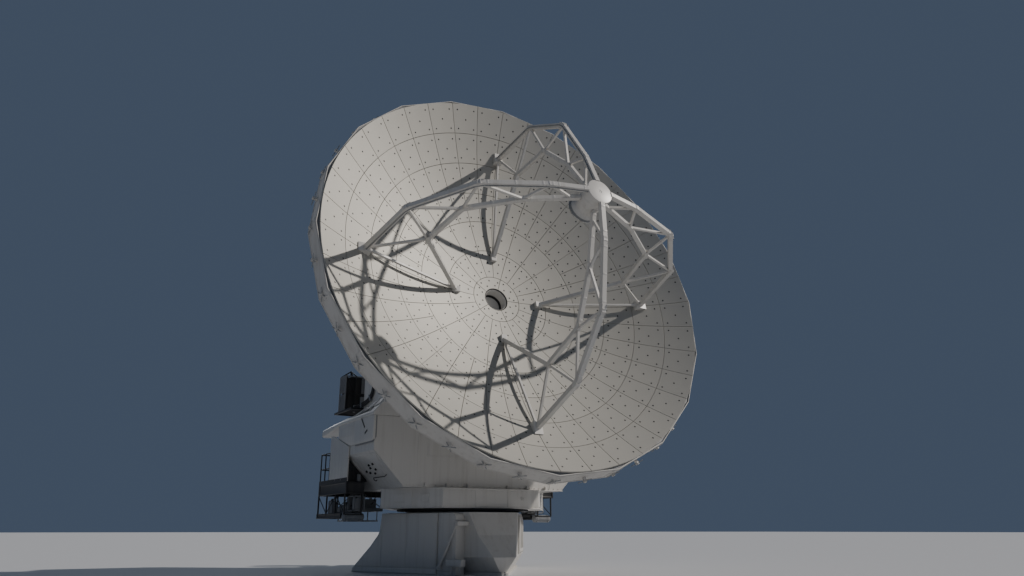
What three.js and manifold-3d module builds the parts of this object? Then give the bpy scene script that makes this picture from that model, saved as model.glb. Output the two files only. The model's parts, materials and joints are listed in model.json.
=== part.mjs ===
// Twelve metre radio telescope dish on a turntable mount.
// Millimetres, +Z up. The origin is where the azimuth axis meets the ground,
// the dish looks towards -Y, and +X is on the right of a person facing the dish.

import * as THREE from "three";
import { mergeVertices } from "three/addons/utils/BufferGeometryUtils.js";
import Module from "manifold-3d";

const wasm = await Module();
wasm.setup();

// Fit between pieces that touch
const seat = 0.3;

// Dish, in a frame that looks straight up, measured from the elevation axis
const elevationAtRest = 16.16;
const axisHeight = 7180;
const vertexAboveAxis = 2000;
const focalLength = 4800;
const dishRadius = 6000;
const holeRadius = 375;
const centreRingRadius = 770;
const innerRingsRadius = 3470;
const panelThickness = 45;
const dishSegments = 80;
const dishFacets = 20;
const dishTurn = -1.5;
const centreSteps = 2;
const ringSteps = 7;
const skirtThickness = 40;
const skirtLowEdge = 3280;
const skirtTopEdge = 3805;
const hubRadius = 1900;
const hubBack = 1100;
const lugCount = 40;
const lugReach = 6180;
const lugHalf = 30;
const lugHeights = [3480, 3560];
const skirtSetback = 25;
const underPanelGap = 0.4;
const overPanelGap = 0.5;

// Opening in the middle of the dish
const cupBack = 1300;
const cupWall = 340;
const cupFloor = 1560;
const cupRim = 1985;

// Truss in a plane through the dish axis: [radius, height over the dish's vertex]
const apexRadius = 350;
const headSegments = 48;
const outerChord = [[250, 5409], [1320, 5200], [3000, 4600], [4230, 3120], [4610, 1000]];
const innerChord = [[250, 5084], [1690, 4460], [2930, 3570], [3210, 2100], [1330, 20]];
const webs = [[[1320, 5200], [560, 4950]], [[1320, 5200], [1690, 4460]], [[3000, 4600], [1690, 4460]],
  [[3000, 4600], [2930, 3570]], [[4230, 3120], [2930, 3570]], [[4230, 3120], [3210, 2100]],
  [[4590, 1180], [3210, 2100]], [[4590, 1180], [1440, 150]]];
const outerChordWidth = 125;
const innerChordWidth = 110;
const webWidth = 62;
const outerPad = { from: 4430, to: 4780, half: 130, under: 200, over: 120 };
const innerPad = { from: 1300, to: 1540, half: 90, under: 150, over: 90 };
const legCutFrom = 500;
const headCut = [6500, 7600];

// Subreflector head, heights over the dish's vertex
const drumHeights = [4950, 5372];
const positionerProfile = [[385, 4650], [300, 4750]];
const mirrorBack = 4620;
const mirrorFace = [[0, 4500], [120, 4506], [240, 4528], [340, 4562], [400, 4592]];
const mirrorRadius = 400;

// Receiver cabin and shafts, measured from the elevation axis
const cabinHalfX = 1700;
const cabinHalfY = 1300;
const cabinChamfer = 220;
const cabinBack = -2000;
const cabinTop = 900;
const hubRingRadius = 1850;
const plateOuter = 1950;
const plateHalf = 850;
const plateHeights = [-900, 899];
const neckProfile = [[560, 1900], [560, 2030], [420, 2090]];
const shaftSegments = 64;

// Pedestal: faces between the feet stand upright, the corners run out to the toes
const baseTurn = -4;
const footDirections = [-90, 30, 150];
const faceDirections = [210, 330, 90];
const faceDistance = 1690;
const coverPlane = 2100;
const hatchPlane = 1750;
const padHeight = 60;
const padFace = 1500;
const padCorner = 2840;
const toeFace = 1430;
const toeCorner = 2720;
const beakHeight = 450;
const beakCorner = 2810;
const kneeHeight = 1000;
const kneeCorner = 2380;
const baseTop = 1600;
const topCorner = 2110;
const coverTop = 1580;
const coverKnee = 980;
const doorEdge = -1330;
const doorSeam = -740;
const doorGap = 25;
const topRingRadius = 1660;
const topRingTop = 1625;
const baySillCorners = [[2360, 0], [2340, 100]];
const bayKneeOut = 1370;
const bayTopOut = 1280;
const hatchLow = [1250, 510];
const hatchHigh = [1000, 1520];
const doorRound = 150;
const strutFoot = [-850, 160];
const strutHead = [-1410, 1290];
const strutSize = [90, 60];
const strutStand = 80;
const lugSpare = 20;
const lugBox = { x: [-1470, -1350], z: [1240, 1360] };
const shoeBox = { x: [-920, -790], z: [140, 240] };
const junctionBox = { x: [-1670, -1170], z: [230, 400], depth: 190 };

// Bearing and turntable
const bearingRadius = 1600;
const bearingTop = 1650;
const bearingGap = 0.8;
const skirtRingRadius = 1940;
const turntableBottom = 1710;
const turntableTop = 2240;
const turntableFront = 1800;
const turntableFrontHalf = 1545;
const turntableSide = 2710;
const turntableSideFront = -217;

// Yoke
const yokeFront = -1450;
const yokeBack = 1400;
const yokeSide = 3450;
const yokeFootHalf = 2550;
const flankTop = 3180;
const yokeTop = 4100;
const yokeMiddleTop = 4400;
const armInner = 2150;
const armOuter = 2750;
const armHeadRadius = 950;
const hornTip = 2950;
const shoulderSide = 3500;
const wallSide = 3480;
const driveSide = 3510;
const driveBack = -50;
const boreRadius = 360;
const shaftRadius = 358.9;
const shaftEnd = 2700;
const neckStart = 5400;
const neckEnd = [-1100, 6600];
const armRearTop = 6000;
const headTurns = [165, 150, 135, 120, 105, 90, 75, 60, 45, 30, 15, 0, -15];
const boreSpare = 10;
const ridgeFront = 5050;
const ridgeMiddle = 4600;
const shoulderEdgeFront = 4200;
const shoulderEdgeMiddle = 4180;
const hornEdge = [3900, 4100];
const hornInset = 350;
const hornRidge = 4350;
const wallLowFront = 3440;
const wallLowKnee = [350, 3430];
const wallLowBack = 3735;
const driveLow = 3420;
const driveFront = -1500;
const driveLip = 3440;
const bearingCoverProfile = [[0, 0], [620, 0], [620, 120], [540, 190], [0, 190]];

// Side platforms behind the yoke
const deckOuter = 3500;
const deckFront = 400;
const deckNotch = 2960;
const deckInner = 1000;
const deckBack = 2900;
const deckBottom = 2120;
const deckTop = 2460;
const trayBottom = 1370;
const trayTop = 1600;
const upperDeckTop = 4700;
const deckOverlap = 100;
const frameInner = 2850;
const frameFront = 500;
const frameBack = 2950;
const hangerHalf = 20;
const hangers = [[-3480, 520], [-3480, 1300], [-3480, 2100], [-3480, 2880], [-2980, 520], [-2880, 2880]];
const innerTray = { x: [-2900, -1750], y: [1950, 2950], z: [1680, 1780] };
const innerHangers = [[-1790, 1990], [-1790, 2880], [-2400, 2880]];
const hangerSink = 20;
const screenSide = [[1990, 3840], [1700, 3800], [420, 3410]];
const screenFront = 420;
const screenBack = 1990;
const upperDeckSide = [3150, 2110];
const upperDeckThickness = 60;
const kneeSide = [4650, 4400];
const kneeReach = [80, 2000];
const kneeWidth = [2260, 2180];
const railPosts = [[-3475, 2040], [-3475, 2875], [-2250, 2875], [-1025, 2875]];
const railHeights = [450, 900];
const postHalf = 20;
const railWidth = 36;
const stileHalf = 230;
const stileWidth = 50;
const stileDepth = [2060, 2130];
const ladderHeights = [2300, 4950];
const rungDepth = [2080, 2110];
const rungFirst = 2450;
const rungLast = 4900;
const rungPitch = 300;
const rungHalf = 15;
const tieHeights = [2500, 3400];
const tieReach = 250;
const tieHalf = 30;
const cabinetBox = { x: [-3050, -2300], y: [1500, 2500], top: 3300 };
const coolerBox = { x: [-3050, -2150], y: [2350, 2900], top: 5850 };
const landingBox = { half: 940, back: 2030, z: [4020, 4090] };

const paint = (name, color, roughness, metalness) =>
  new THREE.MeshStandardMaterial({ name, color, roughness, metalness });

const whitePaint = paint("white_paint", 0xd9d9d6, 0.45, 0.1);
const panelMetal = paint("panel_metal", 0xd2d0ca, 0.55, 0.6);
const shadePaint = paint("structure_paint", 0xcfcdc8, 0.5, 0.1);
const darkSteel = paint("dark_steel", 0x2c2d30, 0.55, 0.6);
const blackPaint = paint("black_paint", 0x1f2023, 0.6, 0.2);
const greyPaint = paint("grey_paint", 0x8f9192, 0.55, 0.2);
const mirrorMetal = paint("mirror_metal", 0xc4c4c2, 0.3, 0.9);

const radians = THREE.MathUtils.degToRad;

const point = (x, y, z) => new THREE.Vector3(x, y, z);

// Closed solids from three.js geometry, joined and cut
function toSolid(geometry) {
  const bare = geometry.clone();
  bare.deleteAttribute("normal");
  bare.deleteAttribute("uv");
  const merged = mergeVertices(bare, 1e-4);
  return new wasm.Manifold(new wasm.Mesh({
    numProp: 3,
    vertProperties: new Float32Array(merged.attributes.position.array),
    triVerts: new Uint32Array(merged.index.array),
  }));
}

function toGeometry(solid) {
  const mesh = solid.getMesh();
  const geometry = new THREE.BufferGeometry();
  geometry.setAttribute("position", new THREE.BufferAttribute(new Float32Array(mesh.vertProperties), 3));
  geometry.setIndex(new THREE.BufferAttribute(new Uint32Array(mesh.triVerts), 1));
  return geometry;
}

function join(geometries) {
  return toGeometry(geometries.map(toSolid).reduce((whole, piece) => whole.add(piece)));
}

function cut(geometry, tools) {
  return toGeometry(tools.map(toSolid).reduce((whole, tool) => whole.subtract(tool), toSolid(geometry)));
}

function mirrored(geometry) {
  const twin = geometry.index ? geometry.toNonIndexed() : geometry.clone();
  twin.deleteAttribute("normal");
  twin.deleteAttribute("uv");
  twin.scale(-1, 1, 1);
  const place = twin.attributes.position;
  for (let i = 0; i < place.count; i += 3) {
    const first = new THREE.Vector3().fromBufferAttribute(place, i);
    const last = new THREE.Vector3().fromBufferAttribute(place, i + 2);
    place.setXYZ(i, last.x, last.y, last.z);
    place.setXYZ(i + 2, first.x, first.y, first.z);
  }
  return mergeVertices(twin, 1e-4);
}

function box([x0, x1], [y0, y1], [z0, z1]) {
  const geometry = new THREE.BoxGeometry(x1 - x0, y1 - y0, z1 - z0);
  return geometry.translate((x0 + x1) / 2, (y0 + y1) / 2, (z0 + z1) / 2);
}

// A square bar between two points, with its width measured across the given side
function bar(from, to, width, depth, side) {
  const along = to.clone().sub(from);
  const length = along.length();
  const zAxis = along.normalize();
  const xAxis = side.clone().addScaledVector(zAxis, -side.dot(zAxis)).normalize();
  const yAxis = zAxis.clone().cross(xAxis);
  const turn = new THREE.Matrix4().makeBasis(xAxis, yAxis, zAxis);
  turn.setPosition(from.clone().add(to).multiplyScalar(0.5));
  return new THREE.BoxGeometry(width, depth, length).applyMatrix4(turn);
}

function outline(points) {
  return new THREE.Shape(points.map(([a, b]) => new THREE.Vector2(a, b)));
}

function prismZ(points, low, high) {
  const geometry = new THREE.ExtrudeGeometry(outline(points), { depth: high - low, bevelEnabled: false });
  return geometry.translate(0, 0, low);
}

// The outline is given as (y, z) and runs along X
function prismX(points, low, high) {
  const geometry = prismZ(points, low, high);
  return geometry.applyMatrix4(new THREE.Matrix4().set(0, 0, 1, 0, 1, 0, 0, 0, 0, 1, 0, 0, 0, 0, 0, 1));
}

// The outline is given as (x, z) and runs along Y
function prismY(points, low, high) {
  const flipped = points.map(([x, z]) => [x, -z]);
  const geometry = prismZ(flipped, low, high);
  return geometry.rotateX(-Math.PI / 2);
}

// Rings of points with the same count, joined by walls and closed by flat ends
function loft(rings) {
  const count = rings[0].length;
  const points = rings.flat();
  const faces = [];
  for (let level = 0; level + 1 < rings.length; level += 1) {
    for (let i = 0; i < count; i += 1) {
      const a = level * count + i;
      const b = level * count + (i + 1) % count;
      faces.push(a, b, b + count, a, b + count, a + count);
    }
  }
  const last = (rings.length - 1) * count;
  for (let i = 1; i + 1 < count; i += 1) {
    faces.push(0, i + 1, i);
    faces.push(last, last + i, last + i + 1);
  }
  const geometry = new THREE.BufferGeometry();
  geometry.setAttribute("position", new THREE.Float32BufferAttribute(points.flat(), 3));
  geometry.setIndex(faces);
  return geometry;
}

// A closed section [radius, height, flat] turned about Z. Points marked flat follow the
// sides of the many-sided rim instead of the circle.
function revolved(section, segments = dishSegments) {
  const step = 360 / segments;
  const facet = 360 / dishFacets;
  const points = [];
  for (let turn = 0; turn < segments; turn += 1) {
    const angle = turn * step;
    const off = (angle % facet) - facet / 2;
    const chord = 1 / Math.cos(radians(off));
    for (const [radius, height, flat] of section) {
      const reach = flat ? radius * chord : radius;
      points.push(reach * Math.cos(radians(angle)), reach * Math.sin(radians(angle)), height);
    }
  }
  const count = section.length;
  const faces = [];
  for (let turn = 0; turn < segments; turn += 1) {
    for (let i = 0; i < count; i += 1) {
      const a = turn * count + i;
      const b = turn * count + (i + 1) % count;
      const c = ((turn + 1) % segments) * count + i;
      const d = ((turn + 1) % segments) * count + (i + 1) % count;
      faces.push(a, c, d, a, d, b);
    }
  }
  const geometry = new THREE.BufferGeometry();
  geometry.setAttribute("position", new THREE.Float32BufferAttribute(points, 3));
  geometry.setIndex(faces);
  return geometry;
}

function disc(radius, low, high, segments = 64) {
  const profile = [[0, low], [radius, low], [radius, high], [0, high]];
  return turned(profile, segments);
}

// A profile of [radius, height] that starts and ends on the axis, turned about Z
function turned(profile, segments = 48) {
  const points = profile.map(([radius, height]) => new THREE.Vector2(radius, height));
  return new THREE.LatheGeometry(points, segments).rotateX(Math.PI / 2);
}

const telescope = new THREE.Group();
const pedestal = new THREE.Group();
const yoke = new THREE.Group();
const dish = new THREE.Group();
const reflector = new THREE.Group();
pedestal.rotation.z = radians(baseTurn);
dish.position.z = axisHeight;
dish.rotation.x = radians(90 - elevationAtRest);
reflector.rotation.z = radians(dishTurn);
dish.add(reflector);
telescope.add(pedestal, yoke, dish);

function place(group, name, geometry, material) {
  const mesh = new THREE.Mesh(geometry, material);
  mesh.name = name;
  group.add(mesh);
}

function placePair(group, name, geometry, material) {
  place(group, `${name}_left`, geometry, material);
  place(group, `${name}_right`, mirrored(geometry), material);
}

// Pedestal
function sixSided(face, corner, height) {
  const halfCorner = (face - corner / 2) / Math.sin(radians(60));
  return footDirections.flatMap((direction) => {
    const out = new THREE.Vector2(Math.cos(radians(direction)), Math.sin(radians(direction)));
    const across = new THREE.Vector2(-out.y, out.x);
    return [-1, 1].map((end) => {
      const point = out.clone().multiplyScalar(corner).addScaledVector(across, end * halfCorner);
      return [point.x, point.y, height];
    });
  });
}

// Each foot ends in a beak whose underside runs back to the pad
function pedestalBody() {
  return loft([
    sixSided(toeFace, toeCorner, padHeight + seat),
    sixSided(faceDistance, beakCorner, beakHeight),
    sixSided(faceDistance, kneeCorner, kneeHeight),
    sixSided(faceDistance, topCorner, baseTop),
  ]);
}

// Pieces on a face of the pedestal are drawn with x along the face, y outwards and z up
function onFace(geometry, direction) {
  return geometry.rotateZ(radians(direction - 90));
}

// The deep bay on one face stands on the ground and follows the foot beside it
function bayCover() {
  const edge = doorSeam + doorGap;
  const outside = [...baySillCorners, [bayKneeOut, coverKnee], [bayTopOut, coverTop]];
  const points = [[edge, 0], ...outside, [edge, coverTop]];
  return prismY(points, faceDistance + seat, coverPlane);
}

// The other faces carry a shallow hatch
function faceHatch() {
  const [lowHalf, low] = hatchLow;
  const [highHalf, high] = hatchHigh;
  const points = [[-lowHalf, low], [lowHalf, low], [highHalf, high], [-highHalf, high]];
  return prismY(points, faceDistance + seat, hatchPlane);
}

function bayDoor() {
  const middle = [doorEdge + doorRound, coverTop - doorRound];
  const rounding = [90, 120, 150, 180].map((turn) => {
    const angle = radians(turn);
    return [middle[0] + doorRound * Math.cos(angle), middle[1] + doorRound * Math.sin(angle)];
  });
  const points = [[doorSeam, 0], [doorSeam, coverTop], ...rounding, [doorEdge, 0]];
  return prismY(points, faceDistance + seat, coverPlane);
}

// A leaning rod from a shoe on the door to a lug on the pedestal
function doorStrut() {
  const plane = coverPlane + strutStand;
  const outside = plane + lugSpare;
  const [footX, footZ] = strutFoot;
  const [headX, headZ] = strutHead;
  const rod = bar(point(footX, plane, footZ), point(headX, plane, headZ), ...strutSize, point(1, 0, 0));
  const lug = box(lugBox.x, [faceDistance + seat, outside], lugBox.z);
  const shoe = box(shoeBox.x, [coverPlane + seat, outside], shoeBox.z);
  return join([rod, lug, shoe]);
}

function buildPedestal() {
  const padRings = [0, padHeight].map((height) => sixSided(padFace, padCorner, height));
  const [bayFace, rightFace, backFace] = faceDirections;
  place(pedestal, "foot_flange", loft(padRings), shadePaint);
  place(pedestal, "pedestal_body", pedestalBody(), whitePaint);
  place(pedestal, "bay_cover_1", onFace(bayCover(), bayFace), whitePaint);
  place(pedestal, "bay_cover_2", onFace(faceHatch(), rightFace), whitePaint);
  place(pedestal, "bay_cover_3", onFace(faceHatch(), backFace), whitePaint);
  place(pedestal, "bay_door", onFace(bayDoor(), bayFace), whitePaint);
  place(pedestal, "door_strut", onFace(doorStrut(), bayFace), greyPaint);
  const cableBox = box(junctionBox.x, [coverPlane + seat, coverPlane + junctionBox.depth], junctionBox.z);
  place(pedestal, "junction_box", onFace(cableBox, bayFace), greyPaint);
  place(pedestal, "top_ring", disc(topRingRadius, baseTop + seat, topRingTop), shadePaint);
  place(pedestal, "azimuth_bearing", disc(bearingRadius, topRingTop + seat, bearingTop), darkSteel);
}

// Turntable and yoke
function buildTurntable() {
  const skirt = disc(skirtRingRadius, bearingTop + bearingGap, turntableBottom - seat);
  place(yoke, "bearing_skirt", skirt, darkSteel);
  const corners = [
    [turntableFrontHalf, -turntableFront],
    [turntableSide, turntableSideFront],
    [turntableFrontHalf, turntableFront],
  ];
  const plan = [...corners, ...corners.map(([x, y]) => [-x, y]).reverse()];
  place(yoke, "turntable", prismZ(plan, turntableBottom, turntableTop), whitePaint);
}

function yokeSection() {
  const right = [
    [yokeFootHalf, turntableTop + seat],
    [yokeSide, flankTop],
    [yokeSide, yokeTop],
    [armInner - seat, yokeTop],
    [armInner - seat, yokeMiddleTop],
  ];
  return [...right, ...right.map(([x, z]) => [-x, z]).reverse()];
}

function armSide() {
  const head = headTurns.map((turn) => {
    const angle = radians(turn);
    return [armHeadRadius * Math.cos(angle), axisHeight + armHeadRadius * Math.sin(angle)];
  });
  const low = yokeTop + seat;
  const neck = [[yokeFront, neckStart], neckEnd];
  return [[yokeBack, low], [yokeFront, low], ...neck, ...head, [yokeBack, armRearTop]];
}

function yokeArm() {
  const blank = prismX(armSide(), -armOuter, -armInner);
  const bore = disc(boreRadius, -armOuter - boreSpare, -armInner + boreSpare).rotateY(Math.PI / 2);
  bore.translate(0, 0, axisHeight);
  return cut(blank, [bore]);
}

// The outer shoulder tapers to a thin horn behind the yoke
function shoulder() {
  const inner = -armOuter - seat;
  const outer = -shoulderSide;
  const low = yokeTop + seat;
  const section = (edge, ridge) => [[outer, low], [outer, edge], [inner, ridge], [inner, low]];
  const [hornLow, hornHigh] = hornEdge;
  const tipInner = inner - hornInset;
  const tip = [[outer, hornLow], [outer, hornHigh], [tipInner, hornRidge], [tipInner, hornLow]];
  const ringAt = (points, y) => points.map(([x, z]) => [x, y, z]);
  return loft([
    ringAt(section(shoulderEdgeFront, ridgeFront), yokeFront),
    ringAt(section(shoulderEdgeMiddle, ridgeMiddle), yokeBack + seat),
    ringAt(tip, hornTip),
  ]);
}

// The wall under the shoulder, with the drive's box, which stands a little in front of the yoke
function sideHousing() {
  const inner = -yokeSide - seat;
  const front = yokeFront - seat;
  const lowEdge = [[yokeFront, wallLowFront], wallLowKnee, [yokeBack, wallLowBack]];
  const wall = prismX([...lowEdge, [yokeBack, yokeTop], [yokeFront, yokeTop]], -wallSide, inner);
  const cover = box([-driveSide, inner], [driveFront, driveBack], [driveLow, yokeTop]);
  const lip = box([-driveSide, -driveLip], [driveFront, front], [driveLow, yokeTop]);
  return join([wall, cover, lip]);
}

function bearingCover() {
  const geometry = turned(bearingCoverProfile).rotateY(-Math.PI / 2);
  return geometry.translate(-armOuter - seat, 0, axisHeight);
}

function buildYoke() {
  place(yoke, "yoke_body", prismY(yokeSection(), yokeFront, yokeBack), whitePaint);
  placePair(yoke, "yoke_arm", yokeArm(), whitePaint);
  placePair(yoke, "shoulder", shoulder(), whitePaint);
  placePair(yoke, "side_housing", sideHousing(), whitePaint);
  placePair(yoke, "bearing_cover", bearingCover(), whitePaint);
}

// Platforms, cabinets and rails behind the yoke
const back = yokeBack + seat;

function sideDeck() {
  const outer = box([-deckOuter, -deckNotch], [deckFront, deckBack], [deckBottom, deckTop]);
  const rear = box([-deckNotch - deckOverlap, -deckInner], [back, deckBack], [turntableTop + seat, deckTop]);
  return join([outer, rear]);
}

function hanger([x, y], low, high) {
  return box([x - hangerHalf, x + hangerHalf], [y - hangerHalf, y + hangerHalf], [low - hangerSink, high]);
}

// Two trays hang under the platform: a low one outside and a higher one inside it
function underFrame() {
  const tray = box([-deckOuter, -frameInner], [frameFront, frameBack], [trayBottom, trayTop]);
  const inside = box(innerTray.x, innerTray.y, innerTray.z);
  const [, innerTop] = innerTray.z;
  return join([
    tray,
    ...hangers.map((foot) => hanger(foot, trayTop, deckBottom - seat)),
    inside,
    ...innerHangers.map((foot) => hanger(foot, innerTop, turntableTop)),
  ]);
}

function screenPanel() {
  const low = deckTop + seat;
  return prismX([[screenFront, low], [screenBack, low], ...screenSide], -deckOuter, -yokeSide - seat);
}

function upperDeck() {
  const [outer, inner] = upperDeckSide;
  const plate = box([-outer, -inner], [back, frameBack], [upperDeckTop - upperDeckThickness, upperDeckTop]);
  const [kneeTop, kneeLow] = kneeSide;
  const [nearReach, farReach] = kneeReach;
  const side = [[back, kneeTop], [back, kneeLow], [back + nearReach, kneeLow], [farReach, kneeTop]];
  const [kneeOuter, kneeInner] = kneeWidth;
  return join([plate, prismX(side, -kneeOuter, -kneeInner)]);
}

function railBars(posts, heights, base) {
  const top = base + Math.max(...heights);
  const around = (middle) => [middle - postHalf, middle + postHalf];
  const bars = posts.map(([x, y]) => box(around(x), around(y), [base, top]));
  for (let i = 0; i + 1 < posts.length; i += 1) {
    for (const height of heights) {
      const [x0, y0] = posts[i];
      const [x1, y1] = posts[i + 1];
      const level = base + height;
      bars.push(bar(point(x0, y0, level), point(x1, y1, level), railWidth, railWidth, point(0, 0, 1)));
    }
  }
  return join(bars);
}

function lowerRail() {
  return railBars(railPosts, railHeights, deckTop + seat);
}

function ladder() {
  const half = stileWidth / 2;
  const stiles = [-stileHalf, stileHalf].map((x) => box([x - half, x + half], stileDepth, ladderHeights));
  const rungs = [];
  for (let height = rungFirst; height < rungLast; height += rungPitch) {
    rungs.push(box([-stileHalf, stileHalf], rungDepth, [height - rungHalf, height + rungHalf]));
  }
  const [rungFront] = rungDepth;
  const ties = tieHeights.map((height) =>
    box([-tieReach, tieReach], [back, rungFront], [height - tieHalf, height + tieHalf]));
  return join([...stiles, ...rungs, ...ties]);
}

function buildPlatforms() {
  const cabinet = box(cabinetBox.x, cabinetBox.y, [deckTop + seat, cabinetBox.top]);
  const cooler = box(coolerBox.x, coolerBox.y, [upperDeckTop + seat, coolerBox.top]);
  const landing = box([-landingBox.half, landingBox.half], [back, landingBox.back], landingBox.z);
  placePair(yoke, "side_deck", sideDeck(), blackPaint);
  placePair(yoke, "under_frame", underFrame(), greyPaint);
  placePair(yoke, "screen_panel", screenPanel(), whitePaint);
  placePair(yoke, "equipment_cabinet", cabinet, greyPaint);
  placePair(yoke, "upper_deck", upperDeck(), blackPaint);
  placePair(yoke, "upper_cabinet", cooler, greyPaint);
  placePair(yoke, "lower_rail", lowerRail(), blackPaint);
  place(yoke, "rear_landing", landing, blackPaint);
  place(yoke, "rear_ladder", ladder(), greyPaint);
}

// Reflector and its back structure
const surface = (radius) => vertexAboveAxis + radius * radius / (4 * focalLength);

function ringRadii(from, to, count) {
  return Array.from({ length: count + 1 }, (_, i) => from + (to - from) * i / count);
}

function panelShell(radii) {
  const top = radii.map((radius) => [radius, surface(radius)]).reverse();
  const bottom = radii.map((radius) => [radius, surface(radius) - panelThickness]);
  return revolved([...bottom, ...top]);
}

const centreRadii = ringRadii(holeRadius, centreRingRadius - seat, centreSteps);
const innerRadii = ringRadii(centreRingRadius, innerRingsRadius, ringSteps);
const outerRadii = ringRadii(innerRingsRadius + seat, dishRadius, ringSteps);

// The back structure is a deep cone under the panels, in a hub part and a rim part
const underPanels = (radius) => [radius, surface(radius) - panelThickness - underPanelGap];
const backSlope = (skirtLowEdge + seat - hubBack) / (dishRadius - seat - hubRadius);
const coneBack = (radius) => hubBack + backSlope * (radius - hubRadius);

function backHub() {
  const top = [holeRadius + seat, ...centreRadii.slice(1, -1), ...innerRadii];
  return revolved([
    [holeRadius + seat, hubBack],
    [hubRadius, hubBack],
    [innerRingsRadius, coneBack(innerRingsRadius)],
    ...top.map(underPanels).reverse(),
  ]);
}

function backRim() {
  const rim = dishRadius - seat;
  const inner = innerRingsRadius + seat;
  return revolved([
    [inner, coneBack(inner)],
    [rim, skirtLowEdge + seat, true],
    [rim, skirtTopEdge - skirtSetback, true],
    ...outerRadii.slice(0, -1).map(underPanels).reverse(),
  ]);
}

function rimSkirt() {
  const inside = dishRadius;
  const outside = dishRadius + skirtThickness;
  const band = revolved([
    [inside, skirtLowEdge, true],
    [outside, skirtLowEdge, true],
    [outside, skirtTopEdge, true],
    [inside, skirtTopEdge, true],
  ]);
  // Lugs stand at the corners and in the middle of each flat side
  const corner = outside / Math.cos(Math.PI / dishFacets);
  const lugs = [];
  for (let i = 0; i < lugCount; i += 1) {
    const wall = i * dishFacets % lugCount === 0 ? corner : outside;
    const lug = box([wall - skirtThickness / 2, lugReach], [-lugHalf, lugHalf], lugHeights);
    lugs.push(lug.rotateZ(radians(i * 360 / lugCount)));
  }
  return join([band, ...lugs]);
}

// An open cup in the middle of the dish, with its shutter as the floor
function vertexCup() {
  const outer = holeRadius - seat;
  const wall = [[outer, cupBack], [outer, cupRim], [cupWall, cupRim], [cupWall, cupFloor]];
  const profile = [[0, cupBack], ...wall, [0, cupFloor]];
  return turned(profile, dishSegments);
}

// Four planar legs carry the subreflector, in planes through the dish axis
function legBars(points, width) {
  const bars = [];
  for (let i = 0; i + 1 < points.length; i += 1) {
    bars.push(legBar(points[i], points[i + 1], width, width / 2));
  }
  return bars;
}

function legBar([r0, z0], [r1, z1], width, extra) {
  const from = point(r0, 0, z0 + vertexAboveAxis);
  const to = point(r1, 0, z1 + vertexAboveAxis);
  const ahead = to.clone().sub(from).normalize().multiplyScalar(extra);
  return bar(from.sub(ahead), to.add(ahead), width, width, point(0, 1, 0));
}

function legPad({ from, to, half, under, over }) {
  const level = surface((from + to) / 2);
  return box([from, to], [-half, half], [level - under, level + over]);
}

function quadripodLeg(direction) {
  const bars = [
    ...legBars(outerChord, outerChordWidth),
    ...legBars(innerChord, innerChordWidth),
    ...webs.map(([a, b]) => legBar(a, b, webWidth, 0)),
    legPad(outerPad),
    legPad(innerPad),
  ];
  const leg = join(bars).rotateZ(radians(direction));
  const floorRadii = [...innerRadii, ...outerRadii.slice(1)];
  const belowSurface = revolved([
    [centreRingRadius, legCutFrom],
    [dishRadius, legCutFrom],
    ...floorRadii.map((radius) => [radius, surface(radius) + overPanelGap]).reverse(),
  ]);
  const head = disc(apexRadius + overPanelGap, ...headCut, headSegments);
  return cut(leg, [belowSurface, head]);
}

function buildReflector() {
  place(reflector, "outer_panels", panelShell(outerRadii), panelMetal);
  place(reflector, "inner_panels", panelShell(innerRadii), panelMetal);
  place(reflector, "centre_panels", panelShell(centreRadii), panelMetal);
  place(reflector, "back_structure_rim", backRim(), shadePaint);
  place(reflector, "back_structure_hub", backHub(), shadePaint);
  place(reflector, "rim_skirt", rimSkirt(), shadePaint);
  place(reflector, "vertex_cup", vertexCup(), shadePaint);
}

function buildApex() {
  const height = vertexAboveAxis;
  const [drumLow, drumHigh] = drumHeights;
  const drum = disc(apexRadius, height + drumLow, height + drumHigh, headSegments);
  const [[flare], [neck]] = positionerProfile;
  const under = drumLow - seat;
  const housing = [[0, mirrorBack], [flare, mirrorBack], ...positionerProfile, [neck, under], [0, under]];
  const rim = mirrorBack - seat;
  const mirror = [...mirrorFace, [mirrorRadius, rim], [0, rim]];
  const raised = (profile) => turned(profile.map(([r, z]) => [r, z + height]));
  place(reflector, "apex_drum", drum, whitePaint);
  place(reflector, "positioner", raised(housing), whitePaint);
  place(reflector, "subreflector", raised(mirror), mirrorMetal);
}

function buildLegs() {
  const legs = { right: 0, top: 90, left: 180, bottom: 270 };
  for (const [name, direction] of Object.entries(legs)) {
    place(reflector, `quadripod_leg_${name}`, quadripodLeg(direction), whitePaint);
  }
}

// Receiver cabin and the shafts that the dish tips on
function cabinBody() {
  const near = [cabinHalfX - cabinChamfer, cabinHalfY - cabinChamfer];
  const right = [[cabinHalfX, -near[1]], [cabinHalfX, near[1]], [near[0], cabinHalfY]];
  const left = right.map(([a, b]) => [-a, b]).reverse();
  const plan = [[near[0], -cabinHalfY], ...right, ...left, [-near[0], -cabinHalfY]];
  return prismZ(plan, cabinBack, cabinTop);
}

function elevationShaft() {
  const [[, neckFrom]] = neckProfile;
  const [, , [, neckTo]] = neckProfile;
  const neck = [...neckProfile, [shaftRadius, neckTo], [shaftRadius, shaftEnd]];
  const profile = [[0, neckFrom], ...neck, [0, shaftEnd]];
  const shaft = turned(profile, shaftSegments).rotateY(-Math.PI / 2);
  const plate = box([-plateOuter, -cabinHalfX - seat], [-plateHalf, plateHalf], plateHeights);
  return join([plate, shaft]);
}

function buildTippingFrame() {
  place(dish, "receiver_cabin", cabinBody(), whitePaint);
  place(dish, "hub_ring", disc(hubRingRadius, cabinTop + seat, hubBack - seat, dishSegments), shadePaint);
  placePair(dish, "elevation_shaft", elevationShaft(), shadePaint);
}

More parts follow.
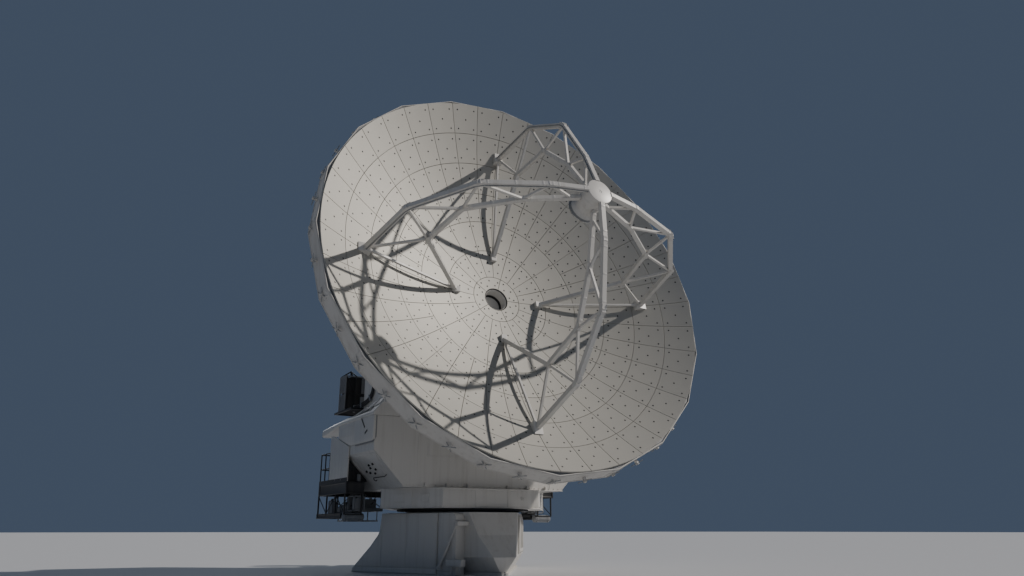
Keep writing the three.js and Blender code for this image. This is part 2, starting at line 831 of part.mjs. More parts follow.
buildPedestal();
buildTurntable();
buildYoke();
buildPlatforms();
buildReflector();
buildApex();
buildLegs();
buildTippingFrame();

export default telescope;
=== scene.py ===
import json
import math
import random

import bpy
from mathutils import Matrix, Vector


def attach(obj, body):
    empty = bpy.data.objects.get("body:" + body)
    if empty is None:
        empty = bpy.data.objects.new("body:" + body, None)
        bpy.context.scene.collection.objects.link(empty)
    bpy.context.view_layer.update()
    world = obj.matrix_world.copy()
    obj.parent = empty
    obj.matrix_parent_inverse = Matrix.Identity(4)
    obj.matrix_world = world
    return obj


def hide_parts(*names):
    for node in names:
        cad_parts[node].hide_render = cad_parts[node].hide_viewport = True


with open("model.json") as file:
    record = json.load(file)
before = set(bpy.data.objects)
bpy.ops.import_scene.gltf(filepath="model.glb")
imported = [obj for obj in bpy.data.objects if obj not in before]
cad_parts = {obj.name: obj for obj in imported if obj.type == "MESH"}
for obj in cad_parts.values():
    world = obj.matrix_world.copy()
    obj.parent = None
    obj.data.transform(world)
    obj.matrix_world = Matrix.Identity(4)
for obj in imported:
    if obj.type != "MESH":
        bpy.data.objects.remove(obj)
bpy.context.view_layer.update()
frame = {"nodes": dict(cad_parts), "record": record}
random.seed(12)


# Colours and shader nodes
def linear(hexCode):
    parts = [int(hexCode[i:i + 2], 16) / 255 for i in (1, 3, 5)]
    return tuple(c / 12.92 if c <= 0.04045 else ((c + 0.055) / 1.055) ** 2.4 for c in parts) + (1.0,)


# A setting is a property of the node or one of its sockets; a mix has its colours in 6 and 7
def addNode(material, kind, settings=None, links=None):
    tree = material.node_tree
    node = tree.nodes.new("ShaderNode" + kind)
    for key, value in (settings or {}).items():
        if isinstance(key, str) and hasattr(node, key):
            setattr(node, key, value)
        else:
            node.inputs[key].default_value = value
    for key, source in (links or {}).items():
        tree.links.new(source, node.inputs[key])
    return node


def startMaterial(name):
    material = bpy.data.materials.new(name)
    material.use_nodes = True
    shader = material.node_tree.nodes["Principled BSDF"]
    place = addNode(material, "TexCoord").outputs["Object"]
    return material, shader, place


def feedShader(material, shader, colour, rough, bump, values):
    sources = {"Base Color": colour.outputs[2], "Roughness": rough.outputs["Result"],
               "Normal": bump.outputs["Normal"]}
    for key, source in sources.items():
        material.node_tree.links.new(source, shader.inputs[key])
    for key, value in values.items():
        shader.inputs[key].default_value = value
    return material


# Sprayed paint on steel plate: an even body colour, dust that has run down the walls,
# and a soft sheen that breaks up on the orange peel of the spray
def sprayedPaint(name, coat):
    material, shader, place = startMaterial(name)
    broad = addNode(material, "TexNoise", {"Scale": 0.6, "Detail": 5.0}, {"Vector": place})
    body = addNode(material, "Mix",
                   {"data_type": "RGBA", 6: linear(coat["fresh"]), 7: linear(coat["faded"])},
                   {0: broad.outputs["Fac"]})
    stretch = addNode(material, "Mapping", {"Scale": (7, 7, 0.35)}, {"Vector": place})
    runs = addNode(material, "TexNoise", {"Scale": 1.0, "Detail": 6.0, "Roughness": 0.6},
                   {"Vector": stretch.outputs["Vector"]})
    dust = addNode(material, "MapRange",
                   {"From Min": 0.5, "From Max": 0.8, "To Max": coat["dustShare"]},
                   {"Value": runs.outputs["Fac"]})
    colour = addNode(material, "Mix", {"data_type": "RGBA", 7: linear(coat["dust"])},
                     {0: dust.outputs["Result"], 6: body.outputs[2]})
    sheen = addNode(material, "MapRange", {"To Min": coat["gloss"][0], "To Max": coat["gloss"][1]},
                    {"Value": runs.outputs["Fac"]})
    # The spray's peel is 2 mm across, drawn at 18 mm so that it shows
    peel = addNode(material, "TexNoise", {"Scale": 55.0, "Detail": 2.0}, {"Vector": place})
    buckle = addNode(material, "TexNoise", {"Scale": 1.3, "Detail": 1.0}, {"Vector": place})
    edge = addNode(material, "Bevel", {"samples": 4, "Radius": coat["edge"]})
    wavy = addNode(material, "Bump", {"Strength": 0.35, "Distance": 0.02},
                   {"Height": buckle.outputs["Fac"], "Normal": edge.outputs["Normal"]})
    bump = addNode(material, "Bump", {"Strength": coat["peel"], "Distance": 0.002},
                   {"Height": peel.outputs["Fac"], "Normal": wavy.outputs["Normal"]})
    return feedShader(material, shader, colour, sheen, bump,
                      {"IOR": 1.5, "Coat Weight": coat["clear"], "Coat Roughness": 0.3})


# Etched aluminium sheet: near white and matt, so that the sun spreads over it, with each
# panel a shade apart and the finest rolling grain
def etchedAluminium():
    material, shader, place = startMaterial("etchedAluminium")
    tone = addNode(material, "Attribute", {"attribute_name": "tone"})
    cloud = addNode(material, "TexNoise", {"Scale": 0.9, "Detail": 6.0, "Roughness": 0.65},
                    {"Vector": place})
    both = addNode(material, "Math", {"operation": "MULTIPLY_ADD", 1: 0.6},
                   {0: tone.outputs["Fac"], 2: cloud.outputs["Fac"]})
    share = addNode(material, "MapRange", {"From Min": 0.3, "From Max": 1.3},
                    {"Value": both.outputs["Value"]})
    sheet = addNode(material, "Mix",
                    {"data_type": "RGBA", 6: linear("#e4e1d8"), 7: linear("#d2d0ca")},
                    {0: share.outputs["Result"]})
    # Each panel is darker towards its edges, over its last 14 cm
    room = addNode(material, "Attribute", {"attribute_name": "edge"})
    edgeDarkening = addNode(material, "MapRange", {"From Max": 0.14, "To Min": 0.8, "To Max": 0.0},
                   {"Value": room.outputs["Fac"]})
    colour = addNode(material, "Mix", {"data_type": "RGBA", 7: linear("#a8a69f")},
                     {0: edgeDarkening.outputs["Result"], 6: sheet.outputs[2]})
    # Rolling grain of 1 mm, drawn at 12 mm
    grain = addNode(material, "TexNoise", {"Scale": 80.0, "Detail": 3.0}, {"Vector": place})
    bump = addNode(material, "Bump", {"Strength": 0.08, "Distance": 0.001},
                   {"Height": grain.outputs["Fac"]})
    rough = addNode(material, "MapRange", {"To Min": 0.5, "To Max": 0.64},
                    {"Value": grain.outputs["Fac"]})
    # The oxide film dulls the metal
    return feedShader(material, shader, colour, rough, bump, {"Metallic": 0.4})


# Bare or galvanised metal: spangle and smears over a plain metal
def workedMetal(name, metal):
    material, shader, place = startMaterial(name)
    spangle = addNode(material, "TexVoronoi", {"Scale": metal["spangle"]}, {"Vector": place})
    smear = addNode(material, "TexNoise", {"Scale": 3.0, "Detail": 8.0, "Roughness": 0.7},
                    {"Vector": place})
    colour = addNode(material, "Mix",
                     {"data_type": "RGBA", 6: linear(metal["bright"]), 7: linear(metal["dull"])},
                     {0: smear.outputs["Fac"]})
    low, high = metal["gloss"]
    rough = addNode(material, "MapRange", {"To Min": low, "To Max": high},
                    {"Value": spangle.outputs["Distance"]})
    bump = addNode(material, "Bump", {"Strength": 0.15, "Distance": 0.001},
                   {"Height": smear.outputs["Fac"]})
    return feedShader(material, shader, colour, rough, bump, {"Metallic": metal["metallic"]})


finishes = {
    # Two-part polyurethane: off-white with a low sheen, dusty in runs
    "white_paint": sprayedPaint("offWhitePolyurethane", {
        "fresh": "#dcdad5", "faded": "#cfccc6", "dust": "#a39a8e", "dustShare": 0.35,
        "gloss": (0.32, 0.5), "peel": 0.12, "edge": 0.012, "clear": 0.15}),
    # The same coat without gloss, on the structure behind the panels
    "structure_paint": sprayedPaint("mattOffWhiteEnamel", {
        "fresh": "#d3d1cc", "faded": "#c5c2bc", "dust": "#968e84", "dustShare": 0.4,
        "gloss": (0.5, 0.68), "peel": 0.1, "edge": 0.008, "clear": 0.0}),
    # Machine enamel: satin, with pale dust on the grey and warmer dust on the black
    "grey_paint": sprayedPaint("greyMachineEnamel", {
        "fresh": "#8b8e92", "faded": "#7b7e82", "dust": "#a39c92", "dustShare": 0.3,
        "gloss": (0.4, 0.58), "peel": 0.14, "edge": 0.006, "clear": 0.05}),
    "black_paint": sprayedPaint("blackMachineEnamel", {
        "fresh": "#1d1e21", "faded": "#292a2d", "dust": "#6d6860", "dustShare": 0.22,
        "gloss": (0.42, 0.6), "peel": 0.14, "edge": 0.005, "clear": 0.05}),
    # Oiled bearing steel: nearly black, with a greasy shine
    "dark_steel": workedMetal("oiledSteel", {
        "bright": "#3a3b3f", "dull": "#1d1e21", "gloss": (0.3, 0.55), "spangle": 40.0, "metallic": 0.85}),
    # Turned aluminium: brighter and glossier than the panels
    "mirror_metal": workedMetal("turnedAluminium", {
        "bright": "#d8d7d3", "dull": "#bdbcb8", "gloss": (0.2, 0.34), "spangle": 60.0, "metallic": 0.9}),
    "panel_metal": etchedAluminium(),
}
# Moulded rubber that has stood outdoors: dull and nearly black
rubber = sprayedPaint("weatheredRubber", {
    "fresh": "#17181a", "faded": "#26272a", "dust": "#5c5750", "dustShare": 0.25,
    "gloss": (0.6, 0.8), "peel": 0.2, "edge": 0.003, "clear": 0.0})
# Hot-dipped zinc: pale grey, with a shine that changes from spangle to spangle
galvanised = workedMetal("galvanisedSteel", {
    "bright": "#a9acae", "dull": "#86898c", "gloss": (0.35, 0.6), "spangle": 55.0, "metallic": 0.75})
for row in frame["record"]["subparts"]:
    mesh = frame["nodes"][row["node"]].data
    mesh.materials.clear()
    mesh.materials.append(finishes[row["material_slot"]])
print("finishes made")


# Modelling steps
def clearSelection():
    if bpy.context.object and bpy.context.object.mode != "OBJECT":
        bpy.ops.object.mode_set(mode="OBJECT")
    bpy.ops.object.select_all(action="DESELECT")


def pickUp(piece):
    clearSelection()
    piece.select_set(True)
    bpy.context.view_layer.objects.active = piece


def openMesh(piece, kind):
    pickUp(piece)
    bpy.ops.object.mode_set(mode="EDIT")
    bpy.ops.mesh.select_mode(type=kind)
    bpy.ops.mesh.select_all(action="DESELECT")
    bpy.ops.object.mode_set(mode="OBJECT")


# Faces are chosen by their centre and normal, edges by their middle and direction
def chooseFaces(piece, rule):
    openMesh(piece, "FACE")
    for face in piece.data.polygons:
        face.select = bool(rule(face.center, face.normal))
    bpy.ops.object.mode_set(mode="EDIT")


def chooseEdges(piece, rule):
    openMesh(piece, "EDGE")
    points = piece.data.vertices
    for edge in piece.data.edges:
        a, b = (points[i].co for i in edge.vertices)
        edge.select = bool(rule((a + b) / 2, (b - a).normalized()))
    bpy.ops.object.mode_set(mode="EDIT")


def chooseAll(piece):
    openMesh(piece, "VERT")
    bpy.ops.object.mode_set(mode="EDIT")
    bpy.ops.mesh.select_all(action="SELECT")


def tidyMesh(piece):
    chooseAll(piece)
    bpy.ops.mesh.remove_doubles(threshold=0.0001)
    bpy.ops.mesh.normals_make_consistent(inside=False)
    clearSelection()


def applyModifiers(piece):
    pickUp(piece)
    for modifier in list(piece.modifiers):
        bpy.ops.object.modifier_apply(modifier=modifier.name)


def softenEdges(piece, width, segments=2):
    modifier = piece.modifiers.new("edges", "BEVEL")
    modifier.width = width
    modifier.segments = segments
    modifier.limit_method = "ANGLE"
    modifier.angle_limit = math.radians(40)
    applyModifiers(piece)
    return piece


# Rounds the edges that a rule picks out
def roundEdges(piece, rule, width, segments):
    chooseEdges(piece, rule)
    bpy.ops.mesh.bevel(offset=width, segments=segments, affect="EDGES")
    clearSelection()
    return piece


# Insets the faces that a rule picks out, once for each (width, depth)
def insetFaces(piece, rule, *steps, apart=False):
    chooseFaces(piece, rule)
    for width, depth in steps:
        bpy.ops.mesh.inset(thickness=width, depth=depth, use_individual=apart)
    clearSelection()
    return piece


def startBox(name, low, high):
    clearSelection()
    low, high = Vector(low), Vector(high)
    bpy.ops.mesh.primitive_cube_add(size=1, location=(low + high) / 2, scale=high - low)
    piece = bpy.context.active_object
    piece.name = name
    bpy.ops.object.transform_apply(location=True, rotation=True, scale=True)
    return piece


def bar(name, low, high, edge=0.004, segments=1):
    return softenEdges(startBox(name, low, high), edge, segments)


def facing(direction):
    aim = Vector(direction)
    return lambda centre, normal: normal.dot(aim) > 0.9


# A box whose chosen sides carry a raised or sunk panel
def casing(name, low, high, sides, rim, depth, edge=0.006):
    piece = startBox(name, low, high)
    for side in sides:
        insetFaces(piece, facing(side), (rim, 0), (abs(depth), depth))
    return softenEdges(piece, edge)


# A chain of [radius, height] points spun about Z; a closed chain makes a ring
def spun(name, profile, steps, closed=False, angle=360.0, turn=0.0):
    clearSelection()
    bpy.ops.mesh.primitive_circle_add(vertices=3, radius=0.01)
    piece = bpy.context.active_object
    piece.name = name
    openMesh(piece, "VERT")
    for vertex in piece.data.vertices[1:]:
        vertex.select = True
    bpy.ops.object.mode_set(mode="EDIT")
    bpy.ops.mesh.delete(type="VERT")
    bpy.ops.mesh.select_all(action="SELECT")
    bpy.ops.object.mode_set(mode="OBJECT")
    here = piece.data.vertices[0].co.copy()
    bpy.ops.object.mode_set(mode="EDIT")
    aim = Matrix.Rotation(math.radians(turn), 3, "Z")
    chain = [aim @ Vector((radius, 0, height)) for radius, height in profile]
    bpy.ops.transform.translate(value=chain[0] - here)
    for before, after in zip(chain, chain[1:]):
        bpy.ops.mesh.extrude_region_move(TRANSFORM_OT_translate={"value": after - before})
    bpy.ops.mesh.select_all(action="SELECT")
    if closed:
        bpy.ops.object.mode_set(mode="OBJECT")
        for i, vertex in enumerate(piece.data.vertices):
            vertex.select = i in (0, len(chain) - 1)
        for edge in piece.data.edges:
            edge.select = False
        bpy.ops.object.mode_set(mode="EDIT")
        bpy.ops.mesh.edge_face_add()
        bpy.ops.mesh.select_all(action="SELECT")
    bpy.ops.mesh.spin(steps=steps, angle=math.radians(angle), center=(0, 0, 0), axis=(0, 0, 1))
    clearSelection()
    tidyMesh(piece)
    return piece


# A spun surface is turned to face up or down and grows to a sheet on one side of it
def thicken(panel, upward, thickness, offset):
    if upward * sum(face.normal.z for face in panel.data.polygons) < 0:
        panel.data.flip_normals()
    sheet = panel.modifiers.new("sheet", "SOLIDIFY")
    sheet.thickness = thickness
    sheet.offset = offset
    applyModifiers(panel)


# A round bar or hose through points
def pipe(name, points, radius, sides=2, smooth=False):
    clearSelection()
    bpy.ops.curve.primitive_bezier_curve_add()
    piece = bpy.context.active_object
    piece.name = name
    curve = piece.data
    curve.splines.clear()
    spline = curve.splines.new("NURBS" if smooth else "POLY")
    spline.points.add(len(points) - 1)
    for knot, point in zip(spline.points, points):
        knot.co = (*point, 1)
    if smooth:
        spline.use_endpoint_u = True
        spline.order_u = 4
        spline.resolution_u = 6
    curve.bevel_depth = radius
    curve.bevel_resolution = sides
    curve.use_fill_caps = True
    bpy.ops.object.convert(target="MESH")
    tidyMesh(piece)
    return piece


# A handle of bent bar between two feet, which leans in by a little on its way out
def handle(foot, tip, out, lean, radius):
    foot, tip, out = Vector(foot), Vector(tip), Vector(out)
    step = (tip - foot).normalized() * lean
    return pipe("handle", [foot, foot + out + step, tip + out - step, tip], radius)


# Points on an arc, at the given degrees
def arc(centre, radius, turns):
    return [(centre[0] + radius * math.cos(math.radians(a)), centre[1] + radius * math.sin(math.radians(a)))
            for a in turns]


def shift(x, y, z):
    return Matrix.Translation((x, y, z))


# The place of a piece that is drawn lying flat, with its face up
def seatOn(point, normal, upward=(0, 0, 1)):
    out = Vector(normal).normalized()
    up = Vector(upward)
    up = (up - out * up.dot(out)).normalized()
    side = up.cross(out)
    turn = Matrix((side, up, out)).transposed().to_4x4()
    return Matrix.Translation(Vector(point)) @ turn


def around(count, start=0.0):
    return [Matrix.Rotation(math.radians(start + 360 * i / count), 4, "Z") for i in range(count)]


def move(piece, place):
    piece.data.transform(place)
    if place.determinant() < 0:
        piece.data.flip_normals()
    return piece


def joined(name, pieces):
    clearSelection()
    for piece in pieces:
        piece.select_set(True)
    bpy.context.view_layer.objects.active = pieces[0]
    if len(pieces) > 1:
        bpy.ops.object.join()
    pieces[0].name = name
    return pieces[0]


def twinOf(piece):
    twin = piece.copy()
    twin.data = piece.data.copy()
    bpy.context.scene.collection.objects.link(twin)
    return twin


def copies(name, master, places):
    twins = [move(twinOf(master), place) for place in places]
    bpy.data.objects.remove(master)
    return joined(name, twins)


def hand(piece, body, slot, *stands, finish=None):
    pickUp(piece)
    bpy.ops.object.shade_smooth_by_angle(angle=math.radians(32))
    piece.data.materials.clear()
    piece.data.materials.append(finish or finishes[slot])
    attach(piece, body)
    if stands:
        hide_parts(*stands)
    return piece


# The left piece is made, and its twin is its mirror image
def handPair(piece, slot, *stands, body="yoke", finish=None):
    name = piece.name
    twin = move(twinOf(piece), Matrix.Scale(-1, 4, (1, 0, 0)))
    piece.name = name + "Left"
    twin.name = name + "Right"
    tidyMesh(twin)
    hand(piece, body, slot, *[stand + "_left" for stand in stands], finish=finish)
    hand(twin, body, slot, *[stand + "_right" for stand in stands], finish=finish)


# Hexagon heads on their washers
def boltsAt(name, radius, places):
    clearSelection()
    bpy.ops.mesh.primitive_cylinder_add(vertices=6, radius=radius, depth=radius * 0.9,
                                        location=(0, 0, radius * 0.55))
    head = bpy.context.active_object
    insetFaces(head, facing((0, 0, 1)), (radius * 0.18, radius * 0.12))
    chooseFaces(head, facing((0, 0, -1)))
    bpy.ops.mesh.extrude_region_move(TRANSFORM_OT_translate={"value": (0, 0, -radius * 0.1)})
    bpy.ops.transform.resize(value=(1.35, 1.35, 1))
    pickUp(head)
    bpy.ops.object.transform_apply(location=True, rotation=True, scale=True)
    return copies(name, head, places)


def boltRow(name, radius, start, end, count, normal, last=0):
    start, end = Vector(start), Vector(end)
    return boltsAt(name, radius, [seatOn(start.lerp(end, i / (count - 1)), normal, end - start)
                                  for i in range(count - last)])


# Bolted plates by where they are: thickness, corner radius, rim, bolt pitch and bolt radius
plates = {
    "truss": (0.008, 0.03, 0.022, 0.08, 0.008),
    "turntable": (0.012, 0.02, 0.024, 0.09, 0.007),
    "shoulder": (0.014, 0.03, 0.03, 0.13, 0.009),
    "housing": (0.006, 0.03, 0.026, 0.15, 0.008),
    "arm": (0.014, 0.06, 0.04, 0.16, 0.012),
    "yoke": (0.016, 0.05, 0.04, 0.2, 0.012),
    "lock": (0.008, 0.015, 0.016, 0.1, 0.004),
    "post": (0.008, 0.008, 0.014, 0.06, 0.005),
    "cabinet": (0.012, 0.01, 0.02, 0.6, 0.005),
    "cabin": (0.018, 0.05, 0.05, 0.22, 0.012),
    "back": (0.01, 0.04, 0.03, 0.16, 0.009),
}


# A plate with round corners, a raised middle and bolts along its edge
def boltedPlate(name, width, height, kind, place):
    thick, corner, rim, pitch, bolt = plates[kind]
    seat = thick * 0.55
    layers = []
    for trim, low, high, radius in ((0, -0.004, seat, corner), (rim, 0, thick, corner * 0.6)):
        x, y = width / 2 - trim, height / 2 - trim
        layer = roundEdges(startBox(name, (-x, -y, low), (x, y, high)),
                           lambda middle, along: abs(along.z) > 0.9, radius, 4)
        layers.append(softenEdges(layer, thick * 0.2, 1))
    x, y = width / 2 - rim / 2, height / 2 - rim / 2
    across, up = (max(2, round(2 * reach / pitch) + 1) for reach in (x, y))
    spots = [(-x + 2 * x * i / (across - 1), end) for i in range(across) for end in (-y, y)]
    spots += [(end, -y + 2 * y * i / (up - 1)) for i in range(1, up - 1) for end in (-x, x)]
    bolts = boltsAt(name + "Bolts", bolt, [shift(a, b, seat) for a, b in spots])
    return move(joined(name, layers + [bolts]), place)


# A frame with slanted slats
def louvre(name, width, height, slats, thick, place):
    x, y = width / 2, height / 2
    case = insetFaces(startBox(name, (-x, -y, -0.004), (x, y, thick)), facing((0, 0, 1)),
                      (thick, 0), (0.001, -thick * 0.8))
    softenEdges(case, thick * 0.12, 1)
    pitch = (height - 2 * thick) / slats
    slat = bar("slat", (thick - x, -0.003, -pitch * 0.45), (x - thick, 0.003, pitch * 0.45), 0.0015)
    lean = Matrix.Rotation(math.radians(50), 4, "X")
    rows = [shift(0, thick - y + pitch * (i + 0.5), thick * 0.5) @ lean for i in range(slats)]
    return move(joined(name, [case, copies("slats", slat, rows)]), place)


# Dish panels
tipPlace = shift(0, 0, 7.18) @ Matrix.Rotation(math.radians(73.84), 4, "X")
dishPlace = tipPlace @ Matrix.Rotation(math.radians(-1.5), 4, "Z")  # the reflector's own turn about its axis


def handDish(piece, slot, *stands, finish=None):
    return hand(move(piece, dishPlace), "dish", slot, *stands, finish=finish)


reflector = {
    "vertex": 2.0,
    "focal": 4.8,
    "thick": 0.038,
    "gap": 0.012,
    "radialSteps": 4,
    "edge": 0.003,
    # Each ring: inner and outer radius, panels, arc steps in a panel, and its adjusters as
    # radius and degrees from the panel's middle
    "rings": [
        (0.378, 0.77, 5, 14, [(0.49, 14), (0.49, -20), (0.65, -2), (0.67, 26), (0.62, -29)]),
        (0.77, 1.65, 20, 5, [(0.96, 0), (1.26, 0), (1.52, 4.5), (1.52, -4.5)]),
        (1.65, 2.59, 20, 5, [(1.79, 7.2), (1.79, -7.2), (2.12, 0), (2.45, 7.4), (2.45, -7.4)]),
        (2.59, 3.47, 40, 3, [(2.72, 2.9), (2.72, -2.9), (3.03, 0), (3.33, 3), (3.33, -3)]),
        (3.47, 4.36, 40, 3, [(3.61, 3), (3.61, -3), (3.92, 0), (4.21, 3), (4.21, -3)]),
        (4.36, 5.20, 40, 3, [(4.51, 3), (4.51, -3), (4.77, 0), (5.04, 3), (5.04, -3)]),
        (5.20, 6.00, 40, 3, [(5.33, 3), (5.33, -3), (5.58, 0), (5.84, 3), (5.84, -3)]),
    ],
    "groups": [("centrePanels", "centre_panels", 0, 1), ("innerPanels", "inner_panels", 1, 4),
               ("outerPanels", "outer_panels", 4, 7)],
    # Adjuster caps of 52 mm stand 5 mm proud on their seats
    "cap": [(0, 0.005), (0.018, 0.005), (0.026, 0.002), (0.026, -0.002), (0, -0.002)],
}


def surface(radius):
    return reflector["vertex"] + radius * radius / (4 * reflector["focal"])


def onSurface(radius, degrees):
    angle = math.radians(degrees)
    slope = radius / (2 * reflector["focal"])
    point = Vector((radius * math.cos(angle), radius * math.sin(angle), surface(radius)))
    normal = Vector((-slope * math.cos(angle), -slope * math.sin(angle), 1))
    return seatOn(point, normal, (-math.sin(angle), math.cos(angle), 0))


def ringOfPanels(name, inner, outer, count, arcSteps):
    gap, steps = reflector["gap"] / 2, reflector["radialSteps"]
    low, high = inner + gap, outer - gap
    radii = [low + (high - low) * i / steps for i in range(steps + 1)]
    trim = math.degrees(gap / ((low + high) / 2))
    sweep = 360 / count
    panel = spun(name, [(r, surface(r)) for r in radii], arcSteps, angle=sweep - 2 * trim, turn=trim)
    thicken(panel, 1, reflector["thick"], -1)
    softenEdges(panel, reflector["edge"], 1)
    # Each point knows how far it is from the panel's edge, for the darkening towards the edge
    panel.data.attributes.new("tone", "FLOAT", "POINT")
    edgeDarkening = panel.data.attributes.new("edge", "FLOAT", "POINT")
    room = []
    for vertex in panel.data.vertices:
        radius = math.hypot(vertex.co.x, vertex.co.y)
        turn = math.atan2(vertex.co.y, vertex.co.x)
        room.append(min(radius - low, high - radius, (turn - math.radians(trim)) * radius,
                        (math.radians(sweep - trim) - turn) * radius))
    edgeDarkening.data.foreach_set("value", room)
    twins = []
    for place in around(count):
        twin = twinOf(panel)
        level = random.random()
        twin.data.attributes["tone"].data.foreach_set("value", [level] * len(twin.data.vertices))
        twins.append(move(twin, place))
    bpy.data.objects.remove(panel)
    return joined(name, twins)


def makePanels():
    spots = []
    for name, node, first, last in reflector["groups"]:
        rings = []
        for inner, outer, count, arcSteps, adjusters in reflector["rings"][first:last]:
            rings.append(ringOfPanels(name, inner, outer, count, arcSteps))
            for i in range(count):
                middle = (i + 0.5) * 360 / count
                spots += [onSurface(radius, middle + off) for radius, off in adjusters]
        handDish(joined(name, rings), "panel_metal", node)
    caps = copies("adjusterCaps", spun("cap", reflector["cap"], 8), spots)
    handDish(caps, "dark_steel")


makePanels()
print("panels made")


# Rim of the dish, with its profiles as radius at the corners and height
rim = {
    "facets": 20,
    "lip": [(6.0808, 3.805), (6.1073, 3.805), (6.1073, 3.827), (6.1013, 3.835), (6.0868, 3.835),
            (6.0808, 3.829)],
    "foot": [(5.9948, 3.268), (6.1273, 3.268), (6.1273, 3.294), (5.9948, 3.294)],
    # A grey strip lies in the channel between the panels and the skirt: painted shade that darkens the
    # channel
    "weatherStrip": [(5.9748, 3.783), (6.0738, 3.783), (6.0738, 3.809), (6.0548, 3.795), (5.9748, 3.795)],
    "corner": 6.1123,
    "middle": 3.5425,
    "coverHeight": 0.465,
    "coverWidth": 0.18,
    "coverThick": 0.008,
    "bend": 0.1,
    "bolts": [(-0.06, 0.06), (-0.19, -0.06, 0.06, 0.19)],
    "crosses": 40,
    "crossPlace": (6.13, 0, 3.52),
    "crossTurns": [45, 135, 225, 315],
    "reach": (0.012, 0, 0.185),
    "rod": 0.011,
    "hub": [(0, 0.02), (0.02, 0.016), (0.03, 0), (0.02, -0.03), (0, -0.03)],
}


def makeRim():
    facets = rim["facets"]
    lips = joined("rimLips", [spun(name, rim[name], facets, closed=True) for name in ("lip", "foot")])
    handDish(lips, "structure_paint")
    # The grey strip is painted shade in the channel along the rim
    strip = spun("weatherStrip", rim["weatherStrip"], facets, closed=True)
    handDish(strip, "grey_paint")
    # Cover strips over the joints of the skirt, in two halves bent round each corner
    width, height, thick = rim["coverWidth"] / 2, rim["coverHeight"] / 2, rim["coverThick"]
    cover = insetFaces(startBox("cover", (-0.004, -width, -height), (thick, width, height)),
                       facing((1, 0, 0)), (0.016, 0.004))
    softenEdges(cover, 0.002, 1)
    bolts = boltsAt("coverBolts", 0.014, [seatOn((thick, y, z), (1, 0, 0))
                                          for y in rim["bolts"][0] for z in rim["bolts"][1]])
    spots = []
    lean, bend = math.radians(180 / facets), rim["bend"]
    x, y = rim["corner"] - bend * math.sin(lean), bend * math.cos(lean)
    for place in around(facets):
        for side in (-1, 1):
            spots.append(place @ shift(x, side * y, rim["middle"]) @ Matrix.Rotation(side * lean, 4, "Z"))
    handDish(copies("skirtJoints", joined("cover", [cover, bolts]), spots), "structure_paint")
    # Crossed rods stand on the lugs round the rim
    cross = []
    for turn in rim["crossTurns"]:
        tip = Matrix.Rotation(math.radians(turn), 3, "X") @ Vector(rim["reach"])
        cross.append(pipe("rod", [(0, 0, 0), tip * 0.5 + Vector((0.004, 0, 0)), tip], rim["rod"]))
    cross.append(move(spun("hub", rim["hub"], 10), seatOn((0, 0, 0), (1, 0, 0))))
    spots = [place @ shift(*rim["crossPlace"]) for place in around(rim["crosses"])]
    handDish(copies("rimCrosses", joined("cross", cross), spots), "grey_paint",
         finish=galvanised)


makeRim()
print("rim made")


# Truss legs, drawn in the plane through the dish axis as (radius, height), and repeated on the four sides
truss = {
    "outer": [(0.25, 7.409), (1.32, 7.2), (3.0, 6.6), (4.23, 5.12), (4.61, 3.0)],
    "inner": [(0.25, 7.084), (1.69, 6.46), (2.93, 5.57), (3.21, 4.1), (1.33, 2.02)],
    "widths": {"outer": 0.125, "inner": 0.11},
    "bandPitch": 0.64,
    "bandClear": 0.2,
    "band": 0.05,
    "plate": (0.115, 0.3),
    "conduit": 0.012,
    "conduitGap": 0.016,
}


def alongChain(chain, pitch, clear):
    spots = []
    for (r0, z0), (r1, z1) in zip(chain, chain[1:]):
        start, end = Vector((r0, 0, z0)), Vector((r1, 0, z1))
        length = (end - start).length
        count = max(1, round((length - 2 * clear) / pitch))
        for i in range(count + 1):
            share = (clear + (length - 2 * clear) * i / count) / length
            spots.append(seatOn(start.lerp(end, share), end - start, (0, 1, 0)))
    return spots


def makeTruss():
    bands, nodePlates = [], []
    for chord, width in truss["widths"].items():
        chain = truss[chord]
        half, thick = width / 2 + 0.002, truss["band"] / 2
        band = insetFaces(startBox("band", (-half, -half, -thick), (half, half, thick)),
                          lambda centre, normal: abs(normal.z) < 0.5, (0.008, 0.002), apart=True)
        softenEdges(band, 0.002, 1)
        bands.append(copies("bands", band, alongChain(chain, truss["bandPitch"], truss["bandClear"])))
        # Node plates on both sides of each joint
        for (r0, z0), (r1, z1), (r2, z2) in zip(chain, chain[1:], chain[2:]):
            along = Vector((r1 - r0, 0, z1 - z0)).normalized() + Vector((r2 - r1, 0, z2 - z1)).normalized()
            for side in (-1, 1):
                place = seatOn((r1, side * width / 2, z1), (0, side, 0), along)
                nodePlates.append(boltedPlate("nodePlate", *truss["plate"], "truss", place))
    # A conduit runs up the outer chord of each leg, round at the joints
    side = truss["widths"]["outer"] / 2 + truss["conduitGap"]
    knots = [Vector((r, side, z)) for r, z in truss["outer"]]
    line = [here.lerp(after, share) for here, after in zip(knots, knots[1:]) for share in (0.05, 0.5, 0.95)]
    conduit = pipe("conduit", [knots[0]] + line + [knots[-1]], truss["conduit"])
    for name, piece, slot, finish in (("trussBands", joined("bands", bands), "white_paint", None),
                                      ("nodePlates", joined("nodePlates", nodePlates), "white_paint", None),
                                      ("trussConduits", conduit, "grey_paint", galvanised)):
        handDish(copies(name, piece, around(4)), slot, finish=finish)


